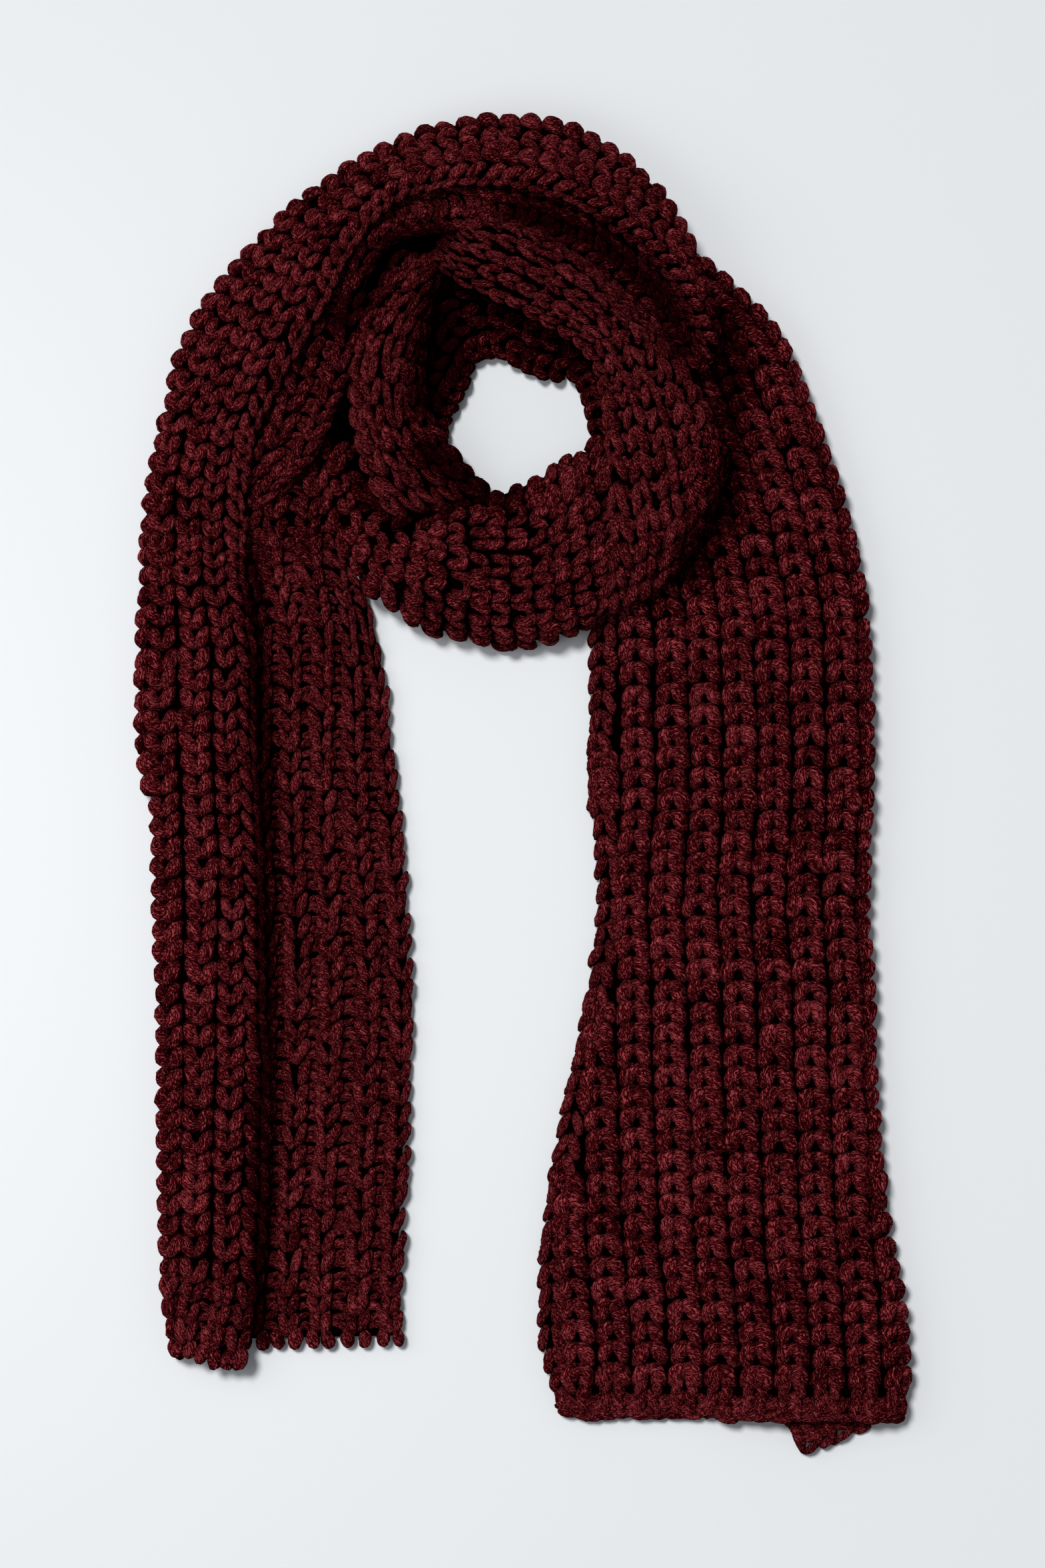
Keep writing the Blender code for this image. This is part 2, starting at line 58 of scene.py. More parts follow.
# %% Sizes of the yarn and the cloth
MM = 0.001
CENTRE = (0.0, 0.99)  # brings the tables to the CAD model's centre
CLOTH = 8.5  # one layer's thickness
HALF = CLOTH / 2
FOLD = 5.0  # radius of a lengthwise fold, at the cloth's middle
CLIMB = 56.0  # width over which the right tail climbs over its own flap
FLAP_CLEAR = CLIMB / 4 + CLOTH
CREST_AT, VALLEY_AT = 0.28, 0.60  # shares of the width where the tables give heights
FOLD_SLIP, SLIP_RUN = 0.3, 0.5  # how the slip of a flap grows from the fold on
EDGE_ROLL = 6.0  # width over which the flap rolls down at its edge

FAT_YARN, SLIM_YARN = 3.5, 3.15  # radius of a strand on the plump and the lean face
ROW, PITCH = 11.2, 18.4  # height of a row and width of a rib
rng = np.random.default_rng(7)
print("gauge:", round(100 / ROW, 1), "rows in 10 cm, yarn", 2 * FAT_YARN, "mm thick")

# %% [markdown]
# ## The stretches of the scarf
#
# The strip could be modelled as one bent mesh, but its edges are easier to draft as a sewer
# would, by stations. A station is a straight line across the strip from an inner to an outer
# edge, with the heights of the cloth's middle on the way.

# %% Tables of stations, in millimetres
# Each row has inner x, inner y, outer x and outer y, then for a fold its flap's width and slip
# along the strip. Next come the heights at the inner edge, the crest, the valley and the outer
# edge, or for the right tail the share of the width where the panel climbs over its flap. A
# stretch that is bowed along the strip has its bow last.
FLAT = (HALF,) * 4
LEFT_TAIL = (
    (-65, -298, -188, -301, 30, 9, *FLAT),
    (-65, -268, -193, -266, 42, 5, *FLAT),
    (-64, -230, -195, -230, 47, 0, *FLAT),
    (-61, -166, -195, -166, 49, 0, *FLAT),
    (-60, -98, -195, -98, 48, 0, *FLAT),
    (-63, -34, -199, -34, 51, 0, *FLAT),
    (-69, 22, -205, 24, 54, 0, *FLAT),
    (-75, 70, -206, 70, 55, 0, *FLAT),
    (-85, 106, -204, 110, 48, 0, *FLAT),
    (-100, 134, -202, 143, 47, 0, *FLAT),
)
OUTER_ARC = (
    (-139, 136, -202, 143, 46, 0, 4.5, 4.25, 4.25, 4.25),
    (-129, 158, -199, 170, 45, 0, 14, 8, 4.5, 4.25),
    (-111, 172, -192, 201, 45, 0, 24, 17, 9, 4.25),
    (-101, 191, -186, 226, 50, 0, 27, 21, 13, 4.5),
    (-92, 214, -173, 253, 51, 0, 28, 24, 17, 6),
    (-85, 245, -154, 278, 47, 0, 28, 26, 20, 7),
    (-81, 268, -131, 302, 37, 0, 28, 27, 22, 8),
    (-68, 285, -104, 324, 29, 0, 29, 28, 23, 8),
    (-50, 290, -75, 341, 26, 0, 29, 28, 24, 8),
    (-30, 292, -43, 352, 29, 0, 28, 27, 24, 8),
    (-8, 288, -9, 357, 33, 0, 27, 26, 24, 8),
    (14, 281, 26, 353, 36, 0, 26, 26, 25, 9),
    (36, 270, 54, 335, 32, 0, 26, 26, 25, 12),
    (55, 254, 76, 313, 26, 0, 26, 26, 26, 18),
    (70, 238, 89, 289, 19, 0, 27, 27, 27, 23),
    (81, 222, 99, 260, 12, 0, 27, 27, 27, 24),
    (89, 206, 105, 234, 5, 0, 27, 27, 27, 24),
)
NECK_TURN = (
    (-49, 277, -37, 302, 18, 20, 20, 17, 0),
    (-37, 267, -17, 303, 30, 34, 34, 26, 0),
    (-17, 258, 6, 296, 36, 41, 41, 31, 0),
    (3, 248, 31, 279, 37, 43, 44, 31, 0),
    (23, 237, 53, 260, 37, 44, 45, 30, 0),
    (37, 224, 73, 238, 36, 44, 45, 28, 0),
    (43, 208, 89, 216, 35, 43, 44, 26, 0),
    (46, 190, 102, 193, 34, 42, 43, 25, 0),
    (47, 168, 108, 178, 34, 41, 42, 25, 1),
    (48, 146, 108, 173, 34, 40, 41, 25, 3),
    (49, 118, 107, 167, 31, 35, 35, 23, 8),
    (40, 88, 102, 158, 15, 17, 19, 15, 13),
)
FRONT_BAND = (
    (-100, 180, -111, 164, 14, 14, 14, 14),
    (-93, 158, -107, 142, 17, 18, 17, 14),
    (-83, 143, -94, 120, 21, 23, 22, 14),
    (-69, 134, -79, 99, 22, 28, 27, 13),
    (-51, 134, -57, 83, 21, 32, 30, 7),
    (-33, 142, -34, 76, 22, 33, 31, 4.25),
    (-14, 152, -10, 72, 22, 34, 32, 4.25),
    (6, 160, 14, 74, 22, 33, 31, 5),
    (23, 169, 36, 83, 20, 29, 28, 14),
    (36, 178, 52, 95, 18, 23, 23, 15),
    (52, 184, 70, 108, 17, 19, 19, 16),
)
INNER_LEFT = (
    (-64, 284, -40, 281, 13, 17, 17, 13),
    (-73, 266, -44, 261, 14, 29, 28, 13),
    (-83, 247, -49, 240, 14, 34, 33, 12),
    (-89, 225, -52, 221, 14, 36, 35, 12),
    (-88, 202, -49, 200, 14, 36, 35, 12),
    (-85, 180, -40, 184, 14, 33, 33, 12),
    (-79, 162, -28, 169, 14, 25, 25, 12),
    (-60, 134, -8, 150, 10, 12, 12, 9),
)
UNDER_ARC = (
    (41, 176, 64, 160, 4.25, 5, 6, 6),
    (36, 192, 70, 190, 4.25, 6, 7, 7),
    (34, 206, 67, 218, 4.25, 6, 8, 9),
    (28, 216, 54, 242, 4.25, 7, 10, 11),
    (15, 217, 34, 258, 4.25, 7, 11, 13),
    (2, 221, 9, 272, 4.25, 7, 11, 13),
    (-11, 229, -17, 280, 4.25, 6, 9, 11),
    (-24, 227, -50, 272, 4.25, 5, 6, 6),
    (-33, 207, -68, 238, *FLAT),
    (-40, 192, -76, 200, *FLAT),
    (-42, 178, -72, 168, *FLAT),
    (-30, 166, -52, 146, *FLAT),
    (-14, 155, -28, 134, *FLAT),
)
RIGHT_TAIL = (
    (22, -339, 204, -340, 46, 20, 0.5),
    (12, -312, 206, -312, 66, 12, 0.5),
    (9, -276, 203, -276, 70, 4, 0.5),
    (11, -241, 196, -241, 70, 0, 0.48),
    (17, -194, 191, -194, 70, 0, 0.46),
    (27, -148, 188, -148, 68, 0, 0.44),
    (35, -105, 187, -105, 66, 0, 0.42),
    (40, -69, 184, -69, 64, 0, 0.41),
    (39, -37, 185, -37, 64, 0, 0.41),
    (35, 2, 187, 2, 64, 0, 0.42),
    (36, 42, 186, 45, 64, 0, 0.42),
    (38, 86, 185, 86, 64, 0, 0.42),
    (50, 114, 179, 121, 60, 0, 0.39),
    (76, 150, 171, 155, 52, 0, 0.28),
    (84, 184, 157, 194, 44, 0, 0.2),
    (78, 214, 143, 231, 38, 0, 0.2),
    (70, 236, 123, 257, 30, 0, 0.2),
    (62, 254, 100, 279, 20, 0, 0.2),
)
WEDGE = (
    (-104, 122, -146, 122, 4.5, 4.5, 4.5, 4.5),
    (-104, 136, -142, 136, 8, 7, 6, 5),
    (-103, 150, -138, 150, 12, 11, 9, 8),
    (-98, 165, -132, 168, 14, 13, 11, 10),
    (-88, 180, -122, 188, 15, 14, 12, 11),
)
CROOK = (
    (-101, 170, -94, 134, 10, 10, 9, 8),
    (-80, 158, -73, 126, 11, 12, 11, 9),
    (-58, 154, -51, 124, 10, 12, 12, 10),
    (-34, 156, -30, 130, 9, 11, 12, 11),
    (-15, 160, -10, 138, 5, 9, 10, 10),
)
print("stations of the left tail and the arc:", len(LEFT_TAIL + OUTER_ARC))

# %% [markdown]
# ## From stations to a middle surface
#
# Cloth bends without corners. Straight lines between stations would crease it, so a smooth curve
# is run through each column of a table, like a flexible ruler through pins. Across the strip the
# heights are eased from knot to knot.

# %% Curves along the strip and heights across it
def along_rows(rows, steps):
    """Catmull-Rom curve: each column as a cubic through its neighbouring rows."""
    rows = np.asarray(rows, float)
    padded = np.vstack((2 * rows[0] - rows[1], rows, 2 * rows[-1] - rows[-2]))
    at = np.linspace(0, len(rows) - 1, (len(rows) - 1) * steps + 1)
    first = np.minimum(at.astype(int), len(rows) - 2)
    t = (at - first)[:, None]
    a, b, c, d = (padded[first + k] for k in range(4))
    return 0.5 * (2 * b + (c - a) * t + (2 * a - 5 * b + 4 * c - d) * t ** 2
                  + (3 * b - a - 3 * c + d) * t ** 3)


def eased(share):
    """Smooth step: three times the share's square less twice its cube."""
    share = np.clip(share, 0, 1)
    return share * share * (3 - 2 * share)


def height_across(knots, w, rolled_in=False, rolled_out=False):
    """Height at share w of the width: up to the crest, to the valley, down to the edge."""
    inner, crest, valley, outer = (knots[:, k:k + 1] for k in range(4))
    rise = np.clip(w / CREST_AT, 0, 1)
    bend = np.sqrt(1 - (1 - rise) ** 2) if rolled_in else np.sin(rise * math.pi / 2)
    first = inner + (crest - inner) * bend
    middle = crest + (valley - crest) * eased((w - CREST_AT) / (VALLEY_AT - CREST_AT))
    fall = np.clip((w - VALLEY_AT) / (1 - VALLEY_AT), 0, 1)
    last = (outer + (valley - outer) * np.sqrt(1 - fall ** 2) if rolled_out
            else valley + (outer - valley) * eased(fall))
    return np.where(w < CREST_AT, first, np.where(w < VALLEY_AT, middle, last))


def frame_of(stations):
    """Inner point, directions across and onward, and width less half the cloth."""
    inner, outer = stations[:, 0:2], stations[:, 2:4]
    width = np.linalg.norm(outer - inner, axis=1, keepdims=True)
    across = (outer - inner) / width
    onward = np.stack((across[:, 1], -across[:, 0]), 1)
    return inner + CENTRE, across, onward, width - HALF


print("a curve through 3 rows in 4 steps each:", along_rows([[0], [1], [4]], 4).ravel().round(2))

# %% [markdown]
# ## Rolled edges and lengthwise folds
#
# A stretch that crosses another bows up and rolls over at its edge. A tail is folded lengthwise:
# a panel, half a circle and a flap. These could be pulled into shape point by point, but a
# formula is shorter and keeps every fold even.

# %% Middle surfaces of a raised stretch and of the two folded ones
STEPS = 12
ACROSS_RAISED, ACROSS_LEFT, ACROSS_RIGHT = 61, 50, 80  # points across each panel
OVER_POINTS, UNDER_POINTS, ROUND_FOLD = 34, 26, 14  # and across each flap and fold
LEFT_FOLD, RIGHT_FOLD = (points + ROUND_FOLD // 2 - 1 for points in (ACROSS_LEFT, ACROSS_RIGHT))


def placed(inner, across, out, way, slid, z):
    """Points a distance out across from the inner edge, slid along the strip, at height z."""
    plan = inner[:, None] + across[:, None] * out[:, :, None] + way[:, None] * slid[:, :, None]
    return np.dstack((plan, z))


def raised(table, rolled_in, rolled_out):
    """Inner point + share of the width across + bow times the half sine, at knotted heights."""
    stations = along_rows(table, STEPS)
    inner, across, onward, width = frame_of(stations)
    share = (1 - np.cos(np.linspace(0, math.pi, ACROSS_RAISED))) / 2
    bow = stations[:, 8:].sum(axis=1, keepdims=True) * np.sin(share * math.pi)
    height = height_across(stations[:, 4:8], share, rolled_in, rolled_out)
    return placed(inner, across, width * share, onward, bow, np.maximum(height, HALF))


def folded(table, over):
    """Panel, then half a circle round its outer edge, then the flap.

    A flap over the panel goes half a circle up and rolls down at its edge. One under it goes
    half a circle down, and the panel climbs over it.
    """
    stations = along_rows(table, STEPS)
    inner, across, onward, width = frame_of(stations)
    run = width - FOLD
    flap, slip = stations[:, 4:5], stations[:, 5:6]
    w = np.linspace(0, 1, ACROSS_LEFT if over else ACROSS_RIGHT)[None, :]
    turn = np.linspace(-0.5, 0.5, ROUND_FOLD)[None, 1:-1] * (math.pi if over else -math.pi)
    if over:
        knots = np.maximum(stations[:, 6:10], HALF)
        back = 1 - np.linspace(1, 0, OVER_POINTS)[None, :] ** 1.5
        flap_out = run - flap * back
        reach = np.minimum(EDGE_ROLL, flap)
        rolled = np.clip(1 - flap * (1 - back) / reach, 0, 1)
        droop = reach * (1 - np.sqrt(1 - rolled ** 2))
        z = (height_across(knots, w), knots[:, 3:4] + FOLD * (1 + np.sin(turn)),
             height_across(knots, flap_out / run) + 2 * FOLD - droop)
        slid = FOLD_SLIP, FOLD_SLIP + (1 - FOLD_SLIP) * eased(back / SLIP_RUN)
        way = -onward * slip
    else:
        step = stations[:, 6:7]
        back = np.linspace(0, 1, UNDER_POINTS)[None, :]
        flap_out = run - np.minimum(flap, run * (1 - step) - FLAP_CLEAR) * back
        z = (HALF + 2 * FOLD * eased((w - step) * run / CLIMB + 0.5),
             HALF + FOLD * (1 + np.sin(turn)) + 0 * run, HALF + 0 * flap_out)
        slid = 0, back
        way = onward * slip
    out = np.hstack((run * w, run + FOLD * np.cos(turn), flap_out))
    slid = np.hstack((0 * w, 0 * turn + slid[0], slid[1]))
    return placed(inner, across, out, way, slid, np.hstack(z))


print("points on the folded left tail:", folded(LEFT_TAIL, True).shape)

# %% [markdown]
# ## A map of the cloth
#
# Placing thousands of stitches in space one by one would be slow. A chart holds the middle
# surface at equal shares of its true width, as a tape would measure it round the folds, and the
# direction out of the cloth at each point. Laying a stitch is then a look-up.

# %% The chart and its look-up
SHARES = np.linspace(0, 1, 161)
APART = 0.999  # keeps the shares of one station below those of the next


def one_long(vectors):
    """Vectors made one long."""
    return vectors / np.maximum(np.linalg.norm(vectors, axis=-1, keepdims=True), 1e-9)


def running(points):
    """Distance of each point from the first, along its line of points."""
    steps = np.linalg.norm(np.diff(points, axis=-2), axis=-1)
    return np.concatenate((0 * steps[..., :1], np.cumsum(steps, axis=-1)), axis=-1)


def normals_of(points):
    """Direction out of the cloth: the cross product of its two slopes, made one long."""
    return one_long(np.cross(np.gradient(points, axis=0), np.gradient(points, axis=1)))


def chart_of(middle, tape_lift, fold=-1):
    """Chart of a middle surface: points at equal shares of the tape width, and normals.

    The tape runs tape_lift out of the cloth, where the stitches lie. The length is measured
    half way across. The fold is the grid's column at the outermost point of a lengthwise fold.
    """
    normals = normals_of(middle)
    if normals[:, 1:20, 2].mean() < 0:
        normals = -normals
    run = running(middle + normals * tape_lift)
    width = run[:, -1]
    station = np.arange(len(middle))[:, None]
    known = (run / width[:, None] * APART + station).ravel()
    wanted = (SHARES * APART + station).ravel()

    def evened(grid):
        columns = [np.interp(wanted, known, grid[:, :, k].ravel()) for k in range(3)]
        return np.stack(columns, -1).reshape(len(middle), len(SHARES), 3)

    points = evened(middle)
    return {"points": points, "normals": evened(normals),
            "length": running(points[:, len(SHARES) // 2]),
            "inner": 0 * width, "fold": run[:, fold], "outer": width}


EDGE_TURN, EDGE_DEEP, MOST_TURN = 4.2, 1.7, 2.4  # mm for each radian, mm and radians
END_REACH, OFF_END = 4, 99.0  # how far a strand may pass an end, and what marks one past it


def look_up(chart, across, along, lift, start="inner", face=1):
    """Points and normals so far across from the starting line, along and out of the cloth.

    Past an edge a strand turns down round it, by the distance past the edge over EDGE_TURN,
    about a centre EDGE_DEEP under the face. The last result is how far past the nearer edge
    each point lies, below zero inside the cloth.
    """
    points, normals = chart["points"], chart["normals"]
    stations = np.arange(len(points))
    row = np.interp(along, chart["length"], stations)
    width = np.interp(row, stations, chart["outer"])
    share = (np.interp(row, stations, chart[start]) + across) / width
    column = np.clip(share, 0, 1) * (len(SHARES) - 1)
    i = np.minimum(row.astype(int), len(points) - 2)
    j = np.minimum(column.astype(int), len(SHARES) - 2)
    u, v = (row - i)[..., None], (column - j)[..., None]

    def blend(grid):
        low = grid[i, j] * (1 - v) + grid[i, j + 1] * v
        high = grid[i + 1, j] * (1 - v) + grid[i + 1, j + 1] * v
        return low * (1 - u) + high * u

    out = one_long(blend(normals)) * face
    edge = np.maximum(-share, share - 1) * width
    turn = np.clip(edge / EDGE_TURN, 0, MOST_TURN)[..., None]
    step_across = points[i, j + 1] - points[i, j]
    sideways = one_long(step_across) * np.where(share > 0.5, 1, -1)[..., None]
    bent = out * np.cos(turn) + sideways * np.sin(turn)
    place = (blend(points) + (bent - out) * EDGE_DEEP
             + bent * (np.asarray(lift) * face)[..., None])
    off_end = np.maximum(-END_REACH - along, along - chart["length"][-1] - END_REACH) > 0
    return place, bent, np.where(off_end, OFF_END, edge)


FOLDED_LIFT, RAISED_LIFT = 3.0, 2.0
charts = {name: chart_of(folded(table, True), -FOLDED_LIFT, LEFT_FOLD) for name, table in
          (("left", LEFT_TAIL[:-1] + OUTER_ARC), ("tail", LEFT_TAIL), ("arc", OUTER_ARC))}
charts["right"] = chart_of(folded(RIGHT_TAIL, False), FOLDED_LIFT, RIGHT_FOLD)
for name, table, rolled_in, rolled_out in (
        ("neck", NECK_TURN, False, True), ("front", FRONT_BAND, False, True),
        ("inner", INNER_LEFT, True, True), ("under", UNDER_ARC, False, False),
        ("wedge", WEDGE, False, False), ("crook", CROOK, False, False)):
    charts[name] = chart_of(raised(table, rolled_in, rolled_out), RAISED_LIFT)
for name, chart in charts.items():
    print(f"{name}: {chart['length'][-1]:.0f} mm long, {chart['outer'].mean():.0f} mm wide")

# %% [markdown]
# ## Yarn as tubes
#
# A strand is a ring of points carried along a curved path. All strands of a piece are one array:
# strand, ring, point on the ring. The UV map has the distance along the strand in U and the turn
# round it in V, so that the plies can follow it.

# %% Tubes from paths
SIDES = 8


def tubes(paths, normals, radii):
    """Rings round each path: path + radius times (cosine of the turn times the upright
    + sine of the turn times the sideways), where sideways is tangent x normal."""
    tangent = one_long(np.gradient(paths, axis=1))
    sideways = one_long(np.cross(tangent, normals))
    upright = np.cross(sideways, tangent)
    turn = np.arange(SIDES)[:, None] * 2 * math.pi / SIDES
    ring = np.cos(turn) * upright[:, :, None] + np.sin(turn) * sideways[:, :, None]
    return paths[:, :, None] + ring * radii[:, :, None, None]


def tube_faces(strands, rings):
    """Quads round and along every strand, and the ring of points that closes each end."""
    index = np.arange(strands * rings * SIDES).reshape(strands, rings, SIDES)
    after = np.roll(index, -1, axis=2)
    quads = np.stack((index[:, :-1], after[:, :-1], after[:, 1:], index[:, 1:]), -1)
    caps = np.concatenate((index[:, 0, ::-1], index[:, -1, :]))
    return quads.reshape(-1, 4), caps


def tube_uv(paths, start):
    """U is the distance along the strand in mm from start, V the share of a turn."""
    run = running(paths) + start[:, None]
    turns = np.arange(SIDES) / SIDES
    low, high, v = np.broadcast_arrays(run[:, :-1, None], run[:, 1:, None], turns)
    after = v + 1 / SIDES
    quads = np.stack((low, v, low, after, high, after, high, v), -1).reshape(-1, 2)
    ends, turns = np.broadcast_arrays(np.concatenate((run[:, 0], run[:, -1]))[:, None], turns)
    return np.concatenate((quads, np.stack((ends, turns), -1).reshape(-1, 2)))


print("a strand of 10 rings has", len(tube_faces(1, 10)[0]) * 2 + 2 * (SIDES - 2), "triangles")

# %% [markdown]
# ## From arrays to meshes
#
# The strands could be curve objects with a round bevel, but thousands of them are slow.
# foreach_set hands a mesh a whole array in one call, so the strands of a piece are one object.

# %% Mesh objects
ABOVE_TABLE = 0.05


def shown(name, data):
    """New object in the scene."""
    thing = bpy.data.objects.new(name, data)
    bpy.context.scene.collection.objects.link(thing)
    return thing


def mesh_object(name, corners, faces, uv, tones_and_shades, materials, which=0):
    """Mesh object from corners in mm, faces in groups of one size and a UV for each corner."""
    mesh = bpy.data.meshes.new(name)
    corners = np.maximum(corners, (-np.inf, -np.inf, ABOVE_TABLE))
    sizes = np.concatenate([np.full(len(group), group.shape[1]) for group in faces])
    loops = np.concatenate([group.ravel() for group in faces])
    mesh.vertices.add(len(corners))
    mesh.vertices.foreach_set("co", (corners * MM).astype(np.float32).ravel())
    mesh.loops.add(len(loops))
    mesh.loops.foreach_set("vertex_index", loops.astype(np.int32))
    mesh.polygons.add(len(sizes))
    mesh.polygons.foreach_set("loop_start", (np.cumsum(sizes) - sizes).astype(np.int32))
    mesh.polygons.foreach_set("use_smooth", np.ones(len(sizes), bool))
    for material in materials:
        mesh.materials.append(material)
    mesh.polygons.foreach_set("material_index", np.zeros(len(sizes), np.int32) + which)
    layer = mesh.uv_layers.new(name="yarn")
    layer.data.foreach_set("uv", uv.astype(np.float32).ravel())
    # Per point: each strand's random tone plus painted shade, read by the yarn material.
    tone_and_shade = mesh.attributes.new("tone_and_shade", 'FLOAT', 'POINT')
    tone_and_shade.data.foreach_set("value", tones_and_shades.astype(np.float32))
    mesh.update(calc_edges=True)
    mesh.validate()
    thing = shown(name, mesh)
    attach(thing, "root")
    return thing


print("lowest point of any piece:", ABOVE_TABLE, "mm above the table")

# %% [markdown]
# ## The yarn
#
# The yarn is a thick soft wool of four plies, spun from a few close shades of burgundy. A picture
# of wool would repeat and smear. So the colour comes from noise that is stretched along the
# strand and turned with the plies, and the same noise raises the surface. A little sheen gives
# the soft bloom of wool at grazing angles.

# %% Yarn material
TWIST, PLIES = 26.0, 4  # mm for one turn of the twist, and the number of plies
SWIRL, STRETCH = 3.5, 0.6  # the noise's scale round the strand and along it


def fill(node, sockets):
    """Give a node's sockets their values, or links from other nodes' outputs."""
    for key, value in sockets.items():
        if isinstance(value, bpy.types.NodeSocket):
            node.id_data.links.new(value, node.inputs[key])
        else:
            node.inputs[key].default_value = value
    return node


def yarn_material(name, dark, mid, light, sheen=0.006):
    """Heathered wool: three shades mixed by stretched noise, raised as plies."""
    material = bpy.data.materials.new(name)
    material.use_nodes = True
    nodes = material.node_tree.nodes

    def add(kind, sockets, operation=None):
        node = nodes.new("ShaderNode" + kind)
        if operation:
            node.operation = operation
        return fill(node, sockets)

    def calc(operation, first, second=0):
        return add("Math", {0: first, 1: second}, operation).outputs[0]

    uv = add("UVMap", {})
    uv.uv_map = "yarn"
    parts = add("SeparateXYZ", {0: uv.outputs["UV"]}).outputs
    # The turn round the strand, twisted with the distance along it. As a circle it has no seam.
    angle = calc('MULTIPLY', calc('ADD', parts["Y"], calc('MULTIPLY', parts["X"], 1 / TWIST)),
                 2 * math.pi)
    swirl = add("CombineXYZ", {"X": calc('MULTIPLY', calc('COSINE', angle), SWIRL),
                               "Y": calc('MULTIPLY', calc('SINE', angle), SWIRL),
                               "Z": calc('MULTIPLY', parts["X"], STRETCH)}).outputs[0]

    def noise(scale, rough=0.5):
        return add("TexNoise", {"Vector": swirl, "Scale": scale, "Roughness": rough}).outputs

    patches, fibres = noise(0.35)["Fac"], noise(2.2, 0.7)["Fac"]
    # The fibres curl: they follow the edges between cells whose places wander.
    wander = add("VectorMath", {0: noise(0.45)["Color"], 1: (5, 5, 5), 2: swirl}, 'MULTIPLY_ADD')
    curls = add("TexVoronoi", {"Vector": wander.outputs[0], "Scale": 0.75})
    curls.feature = 'DISTANCE_TO_EDGE'
    crest = calc('MINIMUM', calc('MULTIPLY', curls.outputs["Distance"], 3.2), 1)
    crest = calc('SUBTRACT', crest, 0.5)
    # The attribute brings each strand's random tone and the painted shade of feet, sides, folds
    # and hollows.
    tone_and_shade = add("Attribute", {})
    tone_and_shade.attribute_name = "tone_and_shade"
    # Noise keeps close to a half, so it is pulled apart before it is mixed.
    grain = calc('ADD', calc('MULTIPLY', crest, 0.68),
                 calc('MULTIPLY', calc('SUBTRACT', fibres, 0.5), 1.9))
    heather_and_shade = calc('ADD', calc('ADD', grain, calc('MULTIPLY', patches, 0.4)), tone_and_shade.outputs["Fac"])
    shades = add("ValToRGB", {"Fac": calc('ADD', heather_and_shade, 0.38)})
    ramp = shades.color_ramp.elements
    ramp[0].position, ramp[0].color = 0.18, (*dark, 1)
    ramp[1].position, ramp[1].color = 0.90, (*light, 1)
    ramp.new(0.56).color = (*mid, 1)
    plies = calc('ABSOLUTE', calc('SINE', calc('MULTIPLY', angle, PLIES / 2)))
    height = calc('ADD', calc('MULTIPLY', plies, 0.20), calc('MULTIPLY', grain, 0.8))
    bump = add("Bump", {"Strength": 0.9, "Distance": 0.0024, "Height": height})
    fill(nodes["Principled BSDF"], {
        "Base Color": shades.outputs["Color"], "Normal": bump.outputs["Normal"],
        "Roughness": 0.9, "Sheen Weight": sheen, "Sheen Roughness": 0.5,
        "Sheen Tint": (0.9, 0.3, 0.34, 1), "Specular IOR Level": 0.0})
    return material


yarn = yarn_material("burgundy wool", (0.012, 0.0004, 0.0008), (0.110, 0.0040, 0.0070),
                     (0.56, 0.083, 0.099))
# A near-black copy of the wool: painted shade for hollows and faces that light doesn't reach.
deep = yarn_material("burgundy wool in the shade", (0.0010, 0.0001, 0.0001),
                     (0.0030, 0.0002, 0.0003), (0.0070, 0.0005, 0.0007), 0.0)
print("materials:", yarn.name, "and", deep.name)

# %% [markdown]
# ## Stitches
#
# A knit stitch shows as a V: two legs of one loop rise out of the cloth, lean apart and dive in
# behind the next stitch. On the plump face they are fat beans with a round hole between them, on
# the lean face slim and nearly upright. A sculpted patch could be copied about, but short
# formulas make every kind and can be tuned one number at a time.

# %% One leg of each kind of stitch
def strand(rings, across, along, low, rise, thick, swelling):
    """Strand raised and swollen in its middle. Across and along each give a start, a length
    and a power of the share of the strand."""
    share = np.linspace(0, 1, rings)
    swell = np.sin(share * math.pi) ** 0.55
    across, along = (start + gone * share ** power for start, gone, power in (across, along))
    return {"across": across, "along": along, "lift": low + rise * swell,
            "radius": SLIM_YARN * (thick + swelling * swell)}


def arch(spread=5.0, vee=0.4, fat=1.0):
    """Horseshoe of one strand: two plump beans that lean together at the top of the stitch.

    Each side takes a quarter turn out from the top and runs on along the rib, steeper with
    more vee. The top has a notch and lies a little low, and the feet dive in deep.
    """
    turn, turned = np.linspace(-1, 1, 17), 0.64
    part, side = np.abs(turn), np.sign(turn)
    angle = np.clip(part / turned, 0, 1) * math.pi / 2
    leg = np.clip((part - turned) / (1 - turned), 0, 1)
    plump = np.sin(np.minimum(part * 1.08, 1) * math.pi)
    notch = np.exp(-(part / 0.17) ** 2)
    fall = (1 - np.cos(angle)) ** (1 - 0.4 * vee)
    return {"across": side * (spread * np.sin(angle) ** (0.85 + 0.35 * vee) + 1.2 * leg),
            "along": -1.9 + 1.5 * (1 - vee) * notch + (4.6 + 0.8 * vee) * fall + 3.9 * leg,
            "lift": 0.8 + 1.7 * plump - 0.7 * notch - 3.0 * leg ** 1.5,
            "radius": FAT_YARN * fat * (0.96 + 0.16 * plump - 0.06 * notch)}


def slim_leg(low=0.9, high=5.6, foot=-2.2, tall=12.6, deep=-1.6):
    """Slim leg: leans out from low to high over a little more than a row."""
    return strand(10, (low, high - low, 0.9), (foot, tall, 1), deep, 4.3, 0.42, 0.58)


def chain_leg(side):
    """One leg of a chain stitch that lies across the strip, as a bound-off edge does."""
    return strand(9, (-2.4, 13.4, 1), (side * 0.7, side * 2.9, 0.9), -1.3, 3.6, 0.42, 0.58)


